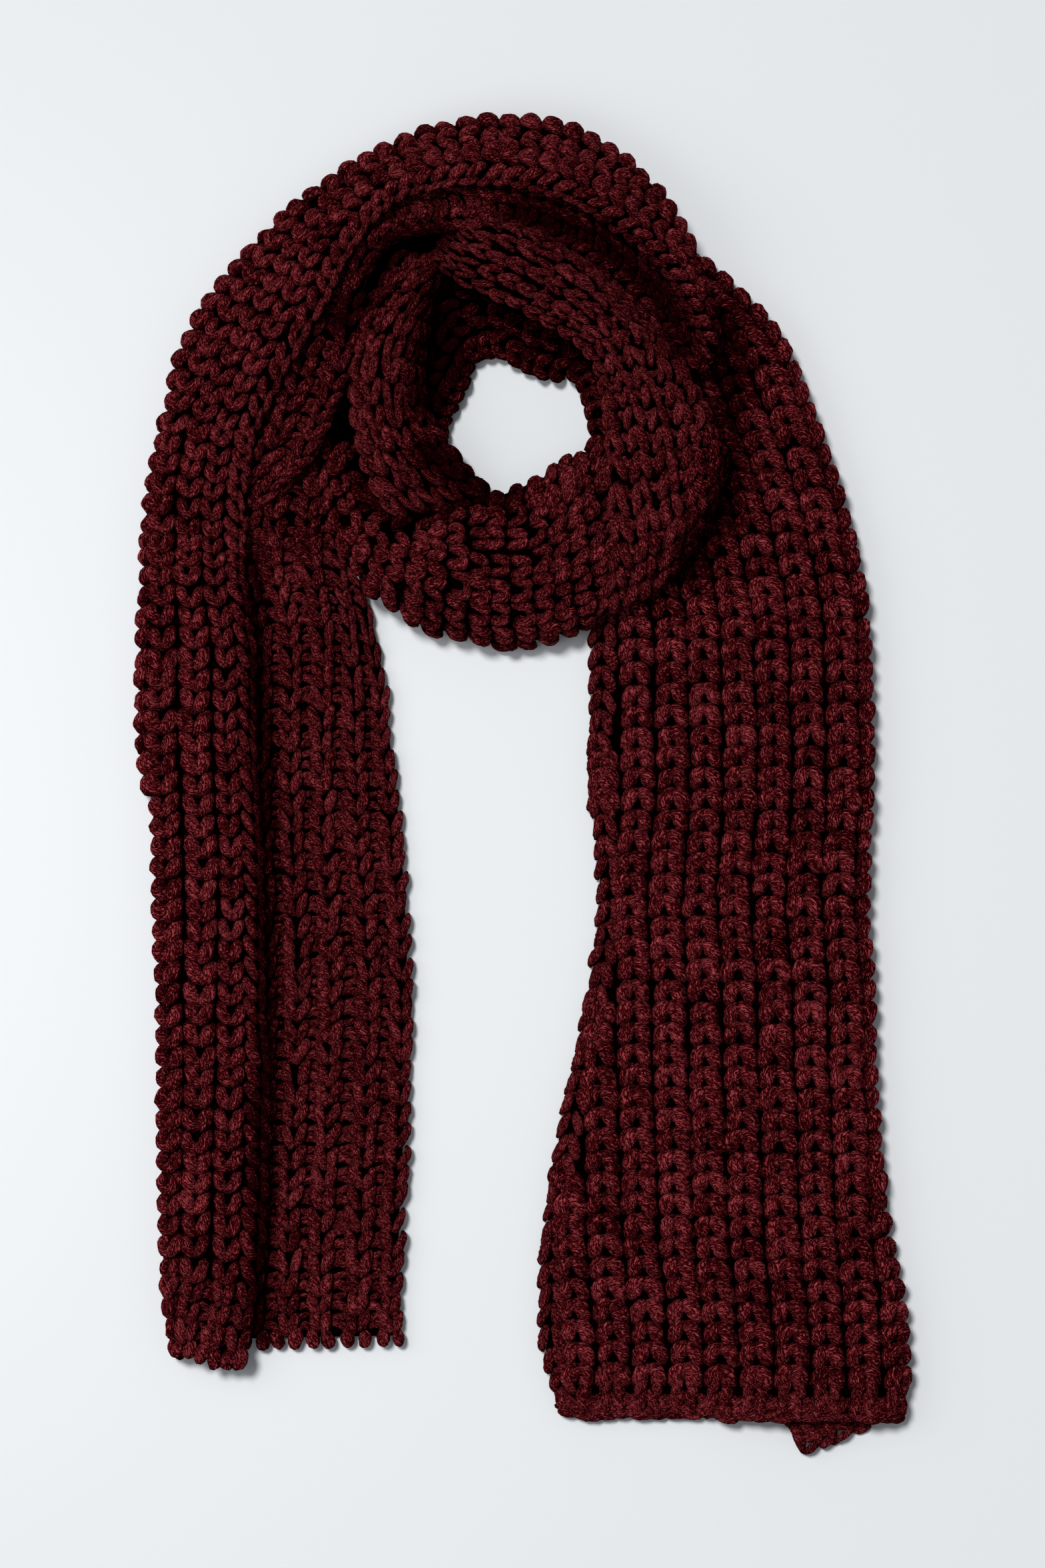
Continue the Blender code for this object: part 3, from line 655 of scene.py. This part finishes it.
# The nearly upright leg of a stretched rib; the rounded end of a rib where it was cast on; a
# bump bowed across the valley; the thin strand between two bumps, deeper and leaning back.
ROPE_LEG = slim_leg(0.9, 3.8, -3.0, 15.0, -1.5)
KNOB = strand(9, (-0.3, 0.6, 1), (-3.6, 10.0, 1), -0.8, 2.4, 1.3 * 0.45, 1.3 * 0.55)
PURL_BUMP = strand(9, (-4.6, 9.2, 1), (-0.9, 1.8, 1), -3.8, 3.2, 0.45, 0.42)
PURL_BUMP["along"] += 3.6 * np.sin(np.linspace(0, math.pi, 9))
THIN_BUMP = strand(8, (-4.6, 9.2, 1), (10.0, -3.4, 1), -3.7, 2.3, 0.36, 0.32)
print("an arch has", len(arch()["lift"]), "rings, a slim leg", len(slim_leg()["lift"]))

# %% [markdown]
# ## Many stitches, none quite alike
#
# In hand knitting every loop is a little looser or tighter than the next. Copies of one mesh
# would look stamped, so each strand has small shifts of its own from a seeded generator. Deep in
# a fold, where little light comes to the yarn, it is painted darker as shade, and so are the
# feet and the sides of each strand.

# %% Strands of a bed, their shade and the pieces they make
FACING = -0.55  # how far down a stitch may face and still be made
ROUGH = 0.13  # mm by which the points of a strand are scattered
FOOT_SHADE, SIDE_SHADE = 0.11, 0.34  # how much painted shade darkens the feet and the sides


def rib_centres(bed, rib, along):
    """Distance from the starting line to each rib, and the space it has.

    Between and past those of the bed's table, places and ribs follow straight lines.
    """
    table = np.asarray(bed["ribs"], float)
    lines = np.stack([np.interp(along, table[:, 0], column) for column in table[:, 1:].T])
    gaps = np.diff(lines, axis=0)
    each, last = np.arange(len(along)), len(gaps) - 1
    low = np.clip(np.floor(rib).astype(int), 0, last)
    before = np.clip(np.ceil(rib).astype(int) - 1, 0, last)
    centre = lines[low, each] + gaps[low, each] * (rib - low)
    return centre, (gaps[low, each] + gaps[before, each]) / 2


def strands_of(bed, leg, side, ribs, rows, rib_scale=1.0):
    """Paths of many like strands: the leg's own curve added to each stitch's place.

    Each is moved, turned, widened and bent a little, and its yarn swells and shrinks.
    """
    rib, along = (grid.ravel() for grid in np.meshgrid(ribs, rows))
    centre, pitch = rib_centres(bed, rib, along)
    wobble = rng.normal(0, 1, (len(rib), 8)) * bed["mess"]
    aside, ahead, out, fatter, wider, turned, curled, tipped = np.split(wobble, 8, axis=1)
    rings = len(leg["across"])
    wave = np.linspace(0, math.pi, rings)
    wide, tall = pitch[:, None] / PITCH * rib_scale, bed["row"] / ROW
    shape = leg["across"] * (1 + 0.09 * wider)
    across = (centre * bed["towards"])[:, None] + side * shape * wide
    across = across + aside * 0.5 + 0.35 * curled * np.sin(2 * wave)
    run = leg["along"] + ahead * 0.6 + 0.09 * turned * shape
    along = along[:, None] + bed["onward"] * run * tall
    lift = leg["lift"] + out * 0.4 + 0.3 * tipped * np.cos(wave)
    swelling = 1 + 0.07 * fatter + rng.normal(0, 0.035, (len(rib), rings))
    radii = leg["radius"] * swelling * np.clip(wide, 0.45, 1.05)
    paths, normals, past = look_up(bed["chart"], across, along, bed["face"] * lift,
                                   bed["start"], bed["face"])
    # Near an edge of the cloth a strand grows thinner.
    radii = radii * (1 - 0.35 * np.clip((past + 6) / 10, 0, 1) * (past < OFF_END))
    middle = rings // 2
    keep = (past.max(axis=1) < EDGE_TURN * 1.7) & (normals[:, middle, 2] > FACING)
    keep &= past[:, middle] < -bed["clear"]
    shade = np.clip(leg["lift"] - leg["lift"].max() + 1.5, -3.5, 0) * FOOT_SHADE
    return paths[keep], normals[keep], radii[keep], shade


FOLDS = (
    # how wide and how dark the painted shade is, then the points (x, y) of the line in mm
    # between the left flap and its base
    (6, 0.40, ((-144, 120), (-137, -1), (-136, -116), (-140, -223), (-141, -294))),
    # between the turn and the right tail
    (11, 0.40, ((108, 249), (111, 191), (108, 149), (90, 116))),
    # inside the arc
    (8, 0.45, ((-95, 245), (-82, 260), (-73, 278), (-66, 285), (-47, 290))),
    # along the inner strip
    (12, 0.42, ((-46, 263), (-44, 231), (-51, 206))),
    # above the front band
    (10, 0.45, ((-50, 177), (-30, 162), (-12, 155))),
    # between the arc and the turn
    (8, 0.42, ((-1, 304), (41, 289), (63, 270), (76, 256), (84, 234))),
)


def fold_shade(points):
    """How much darker the yarn is in the folds: a bell over the distance to each line."""
    shade = np.zeros(len(points))
    for width, depth, line in FOLDS:
        line = np.asarray(line, float)
        start, way = line[:-1], np.diff(line, axis=0)
        gone = points[:, None, :2] - start[None]
        share = np.clip((gone * way).sum(axis=2) / (way ** 2).sum(axis=1), 0, 1)
        near = np.linalg.norm(gone - share[..., None] * way, axis=2).min(axis=1)
        shade = np.maximum(shade, depth * np.exp(-(near / width) ** 2))
    return shade


def yarn_piece(name, groups, painted_shade_shift=0.0):
    """One mesh object from several groups of strands; a shift below zero paints the whole piece
    darker, as shade.
    """
    corners, faces, uv, tones_and_shades, count = [], [], [], [], 0
    side_shade = (np.cos(np.arange(SIDES) * 2 * math.pi / SIDES) - 1) / 2 * SIDE_SHADE
    for paths, normals, radii, shade in groups:
        strands, rings = radii.shape
        points = tubes(paths, normals, radii).reshape(-1, 3)
        corners.append(points + rng.normal(0, ROUGH, points.shape))
        quads, caps = tube_faces(strands, rings)
        faces += [quads + count, caps + count]
        uv.append(tube_uv(paths, rng.uniform(0, 500, strands)))
        # Each strand's tone varies at random; the piece's shift and the darker feet and sides are
        # painted shade.
        tone_and_shade = rng.normal(painted_shade_shift, 0.05, strands)[:, None, None] + shade[:, None]
        tones_and_shades.append((tone_and_shade + side_shade).ravel())
        count += strands * rings * SIDES
    corners, uv, tones_and_shades = (np.concatenate(part) for part in (corners, uv, tones_and_shades))
    # Painted shade deep in the folds.
    tones_and_shades = tones_and_shades - fold_shade(corners)
    thing = mesh_object(name, corners, faces, uv, tones_and_shades, [yarn])
    triangles = sum(len(group) * (group.shape[1] - 2) for group in faces)
    print(f"{name}: {sum(len(group[0]) for group in groups)} strands, {triangles} triangles")
    return thing


print("folds with a shade:", len(FOLDS))

# %% [markdown]
# ## Beds of stitches
#
# The ribs of a stretch run along it and drift a little, and the rows cross them. Each stretch
# could have loops of its own, but a bed says where both lie on a chart, so that a few helpers lay
# any kind of stitch on any stretch.

# %% Beds of stitches
ANYWHERE = -OFF_END


def bed_of(chart, start, towards, ribs, onward, row=ROW, face=1, clear=ANYWHERE, mess=1.0):
    """Where a bed lies on a chart: each row of ribs has the mm along, then the mm from the
    start to each rib. Stitches less than clear inside the edge are left out. More mess makes
    them less alike."""
    return {"chart": charts[chart], "start": start, "towards": towards, "ribs": ribs,
            "row": row, "onward": onward, "face": face, "clear": clear, "mess": mess}


def rows_of(bed, first=0, last=None):
    """Where the rows of a bed lie along its chart."""
    end = bed["chart"]["length"][-1] if last is None else last
    return np.arange(first, end, bed["row"])


def knit(bed, leg, ribs, rows, rib_scale=1.0):
    """Both legs of every stitch."""
    return [strands_of(bed, leg, side, ribs, rows, rib_scale) for side in (-1, 1)]


def valley(bed, ribs, rows, rib_scale=1.0):
    """Bumps and thin strands in the valleys of a lean face."""
    return [strands_of(bed, bump, 1, ribs, rows, rib_scale) for bump in (PURL_BUMP, THIN_BUMP)]


def arches(bed, ribs, rows, shape=arch()):
    """Every stitch of a plump face."""
    return [strands_of(bed, shape, 1, ribs, rows)]


def chain(bed, stitches, along, rib_scale):
    """Chain of stitches across the strip, as binding off leaves it."""
    return [strands_of(bed, chain_leg(side), 1, stitches, [along], rib_scale) for side in (-1, 1)]


print("the front band has room for", len(rows_of(bed_of("front", "outer", -1, (), -1))), "rows")

# %% [markdown]
# ## Left tail and outer arc
#
# The outer edge of the strip is folded over on top, so the plump face shows on the flap and the
# lean face on the panel beside it. Where the flap rolls down, its stitches are drawn into a rope
# of slanting legs. Tail and arc could have a bed each, but on one bed no seam shows.

# %% Left tail and outer arc
ROPE_ROWS, HALFWAY, TAIL_ROWS = 3, 26, 39  # rows at the end, to the panel's middle, of the tail
FLAP_RIBS = (
    (0, 13.5, 27.5, 41.5, 55.5, 69.5),
    (40, 11.5, 25, 42, 56, 72.5),
    (112, 12.5, 27, 44, 60.5, 78.5),
    (237, 12.5, 24, 40, 60, 78.5),
    (362, 13.2, 24, 40.5, 58.5, 75.5),
    (415, 13.5, 25, 38.5, 53, 68.5),
    (456, 14, 25.5, 38.5, 53.5, 68.5),
    (600, 14, 26.5, 40, 54, 68.5),
    (720, 14.8, 28, 41.5, 55.5, 69.5),
    (940, 14.5, 26.5, 38.5, 50.5, 62.5),
)
BASE_RIBS = (
    (0, 4.5, 23, 43, 60.5, 78),
    (187, 4.6, 22, 42.5, 60.4, 78),
    (272, 7, 25, 43, 59.6, 76),
    (340, 5.2, 19, 36, 53, 69),
    (383, 5.2, 14.5, 29, 46.5, 62),
    (410, 1.5, 11, 26.5, 47.5, 62),
    (440, -12, 0, 14, 38, 54),
)
flap_bed = bed_of("left", "outer", -1, FLAP_RIBS, 1, face=-1, mess=0.8)
flap_rows = rows_of(flap_bed, 8)


def flap_stitches(rows):
    """Arches of the flap, with a rope of slanting legs where it rolls down."""
    return [strands_of(flap_bed, arch(4.9, 0.9, 1.1), 1, range(1, 6), rows),
            strands_of(flap_bed, slim_leg(-3.2, 4.2), -1, [0.05], rows, 1.4),
            strands_of(flap_bed, slim_leg(-2.0, 3.0), -1, [-0.45], rows + 5.0)]


yarn_piece("left_flap_stitches", flap_stitches(flap_rows[ROPE_ROWS:TAIL_ROWS])
           + knit(flap_bed, slim_leg(0.9, 4.4), range(6), flap_rows[:ROPE_ROWS], 1.3)
           + valley(flap_bed, np.arange(0.5, 5.6), flap_rows[:ROPE_ROWS], 1.2)
           + [strands_of(flap_bed, KNOB, 1, np.arange(-0.25, 6, 0.5), [1.0], 1.3)])
yarn_piece("arc_flap_stitches", flap_stitches(flap_rows[TAIL_ROWS:]))
base_bed = bed_of("tail", "inner", 1, BASE_RIBS, 1, clear=-1.0)
base_rows = rows_of(base_bed, 8)
yarn_piece("left_panel_stitches",
           knit(base_bed, slim_leg(0.9, 4.4), range(5), base_rows[:ROPE_ROWS])
           + knit(base_bed, slim_leg(), range(5), base_rows[ROPE_ROWS:HALFWAY])
           + knit(base_bed, slim_leg(), range(5), base_rows[HALFWAY:])
           + valley(base_bed, np.arange(0.5, 3.6), base_rows[:HALFWAY])
           + valley(base_bed, np.arange(0.5, 3.6), base_rows[HALFWAY:])
           + [strands_of(base_bed, KNOB, 1, np.arange(-0.22, 5, 0.5), [1.0])])
arc_bed = bed_of("left", "inner", 1, ((430, 2, 21), (460, 5, 24), (520, 7, 26)), 1, 11.5)
arc_rows = rows_of(arc_bed, 442)
# The band lies in the flap's shadow, so its stitches are painted a little darker as shade.
yarn_piece("arc_band_stitches", knit(arc_bed, slim_leg(), range(3), arc_rows)
           + valley(arc_bed, np.arange(0.5, 2.6), arc_rows), -0.08)

# %% [markdown]
# ## Layers seen through the loop
#
# Two patches of the layers inside the loop show between the stretches. Whole layers would be lost
# under the rest, so only these patches are knitted, painted darker as shade.

# %% Patches of the hidden layers
# Both patches lie deep between the stretches, so their stitches are painted darker as shade.
wedge_bed = bed_of("wedge", "inner", 1, ((0, 10, 29),), 1)
yarn_piece("wedge_stitches", knit(wedge_bed, slim_leg(), [0, 1], rows_of(wedge_bed))
           + valley(wedge_bed, [-0.5, 0.5], rows_of(wedge_bed)), -0.14)
crook_bed = bed_of("crook", "inner", 1, ((0, 4, 21),), 1)
yarn_piece("crook_stitches", arches(crook_bed, [0, 1, 2], rows_of(crook_bed)),
           -0.24)

# %% [markdown]
# ## Right tail
#
# Here the plump face lies on top. Binding off leaves a chain of V's across the end. Arches alone
# would stop in a ragged line, so legs and bumps fill the last rows. Below them shows a corner of
# the layer folded under.

# %% Right tail
RIGHT_RIBS = (
    (0, 28.5, 47.7),
    (63, 27.5, 46.7),
    (104, 23.3, 42.4),
    (158, 19.4, 38.5),
    (223, 19, 38),
    (330, 20, 38.4),
    (620, 20, 38.4),
)
right_bed = bed_of("right", "fold", -1, RIGHT_RIBS, -1, 11.4, clear=8.0, mess=0.7)
right_rows = rows_of(right_bed, 15)
edge_bed = bed_of("right", "inner", 1, ((0, 6.2, 21.7),), -1, 11.4)
chain_bed = bed_of("right", "inner", 1, ((0, -1.0, 8.3),), -1)
corner_bed = bed_of("right", "outer", -1, ((0, 8, 26),), -1, face=-1, mess=0.3)
corner_chain = bed_of("right", "outer", -1, ((0, 0, 9.3),), -1, face=-1, mess=0.3)
yarn_piece("right_tail_stitches", arches(right_bed, range(-2, 12), right_rows[1:],
                                         arch(4.8, 0.35, 1.10))
           + knit(right_bed, ROPE_LEG, range(-2, 12), [13.0, 24.0], 1.4)
           + knit(edge_bed, slim_leg(0.9, 4.4), [0], rows_of(edge_bed, 14), 1.5))
yarn_piece("right_tail_bound_off",
           chain(chain_bed, range(23), 5.0, 1.8)
           + valley(right_bed, np.arange(-1.5, 11.6), [14.0]))
yarn_piece("right_tail_corner",
           knit(corner_bed, slim_leg(0.9, 4.6), range(4), rows_of(corner_bed, 12, 50), 1.3)
           + valley(corner_bed, np.arange(0.5, 3.6), rows_of(corner_bed, 9, 50), 1.3)
           + chain(corner_chain, np.arange(1.2, 4), 4.0, 1.5))

# %% [markdown]
# ## Neck turn
#
# The strip turns round the neck opening and narrows, and its ribs crowd together. A table typed
# by hand would do, but one worked out from the chart's own width lets the same few ribs fill it
# all the way.

# %% Neck turn
neck = charts["neck"]
NECK_RIBS, NECK_FIRST, NECK_EDGES = 4.6, 3.5, 6.0
pitch = (neck["outer"] - NECK_EDGES) / NECK_RIBS
neck_table = np.stack((neck["length"], NECK_FIRST + 0 * pitch, NECK_FIRST + pitch), 1)
neck_bed = bed_of("neck", "inner", 1, neck_table, 1, 11.6)
neck_rows = rows_of(neck_bed)
yarn_piece("neck_turn_stitches",
           knit(neck_bed, slim_leg(0.9, 4.6), range(6), neck_rows, 1.25)
           + [strands_of(neck_bed, PURL_BUMP, 1, np.arange(0.5, 5.6), neck_rows[6:], 1.2)])

# %% [markdown]
# ## Front band
#
# The band passes below the opening with its plump face up. Even stitches like the right tail's
# would look stiff, because it is not pulled. So it gets the same arch with less vee and more
# mess.

# %% Front band
front_bed = bed_of("front", "outer", -1, ((0, 3.5, 17.0),), -1, 11.4, mess=1.3)
yarn_piece("front_band_stitches",
           arches(front_bed, range(8), rows_of(front_bed), arch(5.2, 0.2, 1.12)))

# %% [markdown]
# ## Inner left and under arc
#
# Left of the opening the lower stretch shows its lean face, pulled long, so its rows are taller.
# The deepest layer shows only round the opening, in the shade. It could be left a plain shell,
# but from close by its stitches are seen, so it gets dim ones.

# %% Inner left and under arc
inner_bed = bed_of("inner", "inner", 1, ((0, 6.0, 17.0),), -1, 12.6)
inner_rows = rows_of(inner_bed)
yarn_piece("inner_left_stitches",
           knit(inner_bed, slim_leg(0.9, 4.4), range(7), inner_rows, 1.35)
           + valley(inner_bed, np.arange(1.5, 7, 2), inner_rows, 0.9))
under_bed = bed_of("under", "inner", 1, ((0, 5.5, 21.5),), -1)
# Deep in the opening: these stitches are painted darker as shade.
yarn_piece("under_arc_stitches", arches(under_bed, range(4), rows_of(under_bed)),
           -0.26)

# %% [markdown]
# ## The cloth under the stitches
#
# Behind the stitches that show lie the backs of the loops. Strands there would double the model,
# and nobody sees them closely. So each stretch has one closed shell, with the same V's raised
# under it by a height for each point.

# %% A shell
SHELL_STEP = 3.0  # mm between the points of a shell
INSET, EASE = 2, 24  # mm by which it stays inside its cloth, and over which it eases to a flap
UNDER = (-1.8, 2.4, -0.8, 0.0)  # mm: lower offset and relief, upper offset and relief


def beans(across, along):
    """Height from 0 to 1 of a field of V's: each leg is half an ellipsoid, leaning."""
    x = np.abs((across / PITCH + 0.5) % 1 - 0.5) * PITCH
    t = ((along / ROW) % 1 - 0.5) * ROW
    lean = x - (3.9 + 0.32 * t)
    reach = (lean / (0.20 * PITCH)) ** 2 + (t / (0.58 * ROW)) ** 2
    return np.sqrt(np.clip(1 - reach, 0, 1))


def signed_volume(corners, quads):
    """A sixth of the triple product of the corners of each triangle, summed."""
    a, b, c, d = (corners[quads[:, k]] for k in range(4))
    return (a * np.cross(b, c) + a * np.cross(c, d)).sum() / 6


def shell(node, chart, flap=UNDER, deep_below=False, first=0.0):
    """Closed shell between two offsets of the middle surface, each with its own relief.

    Past a lengthwise fold the numbers of UNDER ease to those of the flap. The side that faces
    the stitches of the panel is painted near black as shade, and when asked the flap's side too.
    """
    length, width = chart["length"][-1], chart["outer"].max()
    along = np.linspace(first, length, round(length / SHELL_STEP) + 1)[:, None]
    share = np.linspace(INSET / width, 1 - INSET / width, round(width / SHELL_STEP) + 1)
    stations = np.arange(len(chart["length"]))
    row_at = np.interp(along, chart["length"], stations)
    across = share * np.interp(row_at, stations, chart["outer"])
    past = across - np.interp(row_at, stations, chart["fold"])
    values = [a + (b - a) * eased(past / EASE + 0.5) for a, b in zip(UNDER, flap)]
    along = along + 0 * across
    relief = beans(across, along)
    bottom, _, _ = look_up(chart, across, along, values[0] - values[1] * relief)
    top, _, _ = look_up(chart, across, along, values[2] + values[3] * relief)
    rows, columns = across.shape
    index = np.arange(rows * columns).reshape(rows, columns)
    corners_of = index[:-1, :-1], index[:-1, 1:], index[1:, 1:], index[1:, :-1]
    upper = np.stack(corners_of, -1).reshape(-1, 4)
    lower = upper[:, ::-1] + rows * columns
    rim = np.concatenate((index[0, :], index[1:, -1], index[-1, -2::-1], index[-2:0:-1, 0]))
    after = np.roll(rim, -1)
    edge = np.stack((rim, rim + rows * columns, after + rows * columns, after), -1)
    faces = np.concatenate((upper, lower, edge))
    corners = np.concatenate((top.reshape(-1, 3), bottom.reshape(-1, 3)))
    if signed_volume(corners, faces) < 0:
        faces = faces[:, ::-1]
    uv = np.tile(np.stack((along.ravel(), across.ravel() / (2 * math.pi * FAT_YARN)), -1), (2, 1))
    is_flap = (past[:-1, :-1] > 0).ravel()
    # Slot 1 is the near-black wool: painted shade on the sides that face the stitches.
    which = np.concatenate((~is_flap, is_flap & deep_below, np.zeros(len(edge), bool)))
    thing = mesh_object(node + "_cloth", corners, (faces,), uv[faces.ravel()],
                        np.zeros(len(corners)), [yarn, deep], which)
    print(f"{thing.name}: {len(faces) * 2} triangles")
    return thing


print("relief under a shell:", UNDER[1], "mm deep, a point each", SHELL_STEP, "mm")

# %% [markdown]
# ## Shells in place of the stretches
#
# A sheet of cloth is cut flat before it is hung or folded. Knitting isn't cut, but it has such a
# flat size too. Here each stretch gets a shell from its chart, shown in place of its CAD node,
# which is hidden.

# %% One shell for each stretch
def clothe(node, chart, stitches, held, rests_on, **build):
    """Show a shell in place of its node. The list of what is knitted on it is not used."""
    chart = charts[chart]
    thing = shell(node, chart, **build)
    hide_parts(node)


FLAP_OVER, FLAP_UNDER = (0.8, 0.0, 2.2, 1.4), (-1.5, 0.0, 1.5, 2.6)
clothe("left_tail", "tail", ["left_flap_stitches", "left_panel_stitches"], "folded", "floor",
       flap=FLAP_OVER, deep_below=True, first=3.5)
clothe("outer_arc", "arc", ["arc_flap_stitches", "arc_band_stitches"], "folded", "hidden_layers",
       flap=FLAP_OVER, deep_below=True)
clothe("right_tail", "right",
       ["right_tail_stitches", "right_tail_bound_off", "right_tail_corner"], "folded", "floor",
       flap=FLAP_UNDER, first=5.0)
for chart_name, node, rests_on in (
        ("neck", "neck_turn", "hidden_layers"), ("front", "front_band", "hidden_layers"),
        ("inner", "inner_left", "hidden_layers"), ("under", "under_arc", "floor")):
    clothe(node, chart_name, [node + "_stitches"], "laid", rests_on)

# %% [markdown]
# ## The layers that never show
#
# The layers inside the loop are one rounded solid in the CAD model. Only shade is seen there, so
# no stitches are made: a copy of its own mesh stands for it, drawn in a little so that it never
# pokes out.

# %% Hidden layers
DRAWN_IN = 0.5
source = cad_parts["hidden_layers"].data
corners, normals = (np.empty(len(source.vertices) * 3) for _ in range(2))
source.vertices.foreach_get("co", corners)
source.vertices.foreach_get("normal", normals)
corners = corners.reshape(-1, 3) / MM - normals.reshape(-1, 3) * DRAWN_IN
faces = np.empty(len(source.polygons) * 3, np.int32)
source.polygons.foreach_get("vertices", faces)
# Its near-black wool is painted shade: these layers show only in shadow.
thing = mesh_object("hidden_layers_cloth", corners, (faces.reshape(-1, 3),), corners[faces, :2],
                    np.zeros(len(corners)), [deep])
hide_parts("hidden_layers")
print(thing.name, "has", len(source.polygons), "triangles")

# %% [markdown]
# ## Table, light and camera
#
# The scarf lies on a pale table and is seen from straight above. One small lamp would cast hard
# shadows, so a broad sun leaves soft ones. A round lamp lifts the left side, and a faint sky
# fills the folds. A long lens keeps upright edges upright.

# %% Table
REACH = 12.0
mesh = bpy.data.meshes.new("floor")
mesh.from_pydata([(-REACH, -REACH, 0), (REACH, -REACH, 0), (REACH, REACH, 0),
                  (-REACH, REACH, 0)], [], [(0, 1, 2, 3)])
table = bpy.data.materials.new("pale table")
table.use_nodes = True
fill(table.node_tree.nodes["Principled BSDF"],
     {"Base Color": (0.80, 0.83, 0.86, 1), "Roughness": 0.9})
mesh.materials.append(table)
shown("floor", mesh)
print("table:", 2 * REACH, "m wide")


# %% Lights and camera
def lamp(name, kind, energy, direction, place=(0, 0, 0)):
    """Light that shines from a place along a direction."""
    light = bpy.data.lights.new(name, kind)
    light.energy = energy
    thing = shown(name, light)
    thing.location = place
    thing.rotation_euler = Vector(direction).to_track_quat('-Z', 'Y').to_euler()
    return light


key = lamp("key", 'SUN', 2.45, (0.38, -0.50, -1.25))
key.angle, key.color = math.radians(14), (1.0, 0.99, 0.97)
side = lamp("side", 'AREA', 1.2, (0.36, 0.04, -0.48), (-0.50, -0.02, 0.55))
side.shape, side.size = 'DISK', 0.7
world = bpy.data.worlds.new("studio")
world.use_nodes = True
fill(world.node_tree.nodes["Background"], {"Color": (0.93, 0.96, 1.0, 1), "Strength": 0.22})
bpy.context.scene.world = world
bpy.context.scene.view_settings.view_transform = 'Standard'

EYE, VIEW = 2.4, 0.84  # metres: height of the camera and height of what it sees
camera = bpy.data.cameras.new("camera")
camera.lens = camera.sensor_width * EYE / VIEW
eye = shown("camera", camera)
eye.location = (CENTRE[0] * MM, CENTRE[1] * MM, EYE)
bpy.context.scene.camera = eye
print("camera lens", round(camera.lens, 1), "mm")
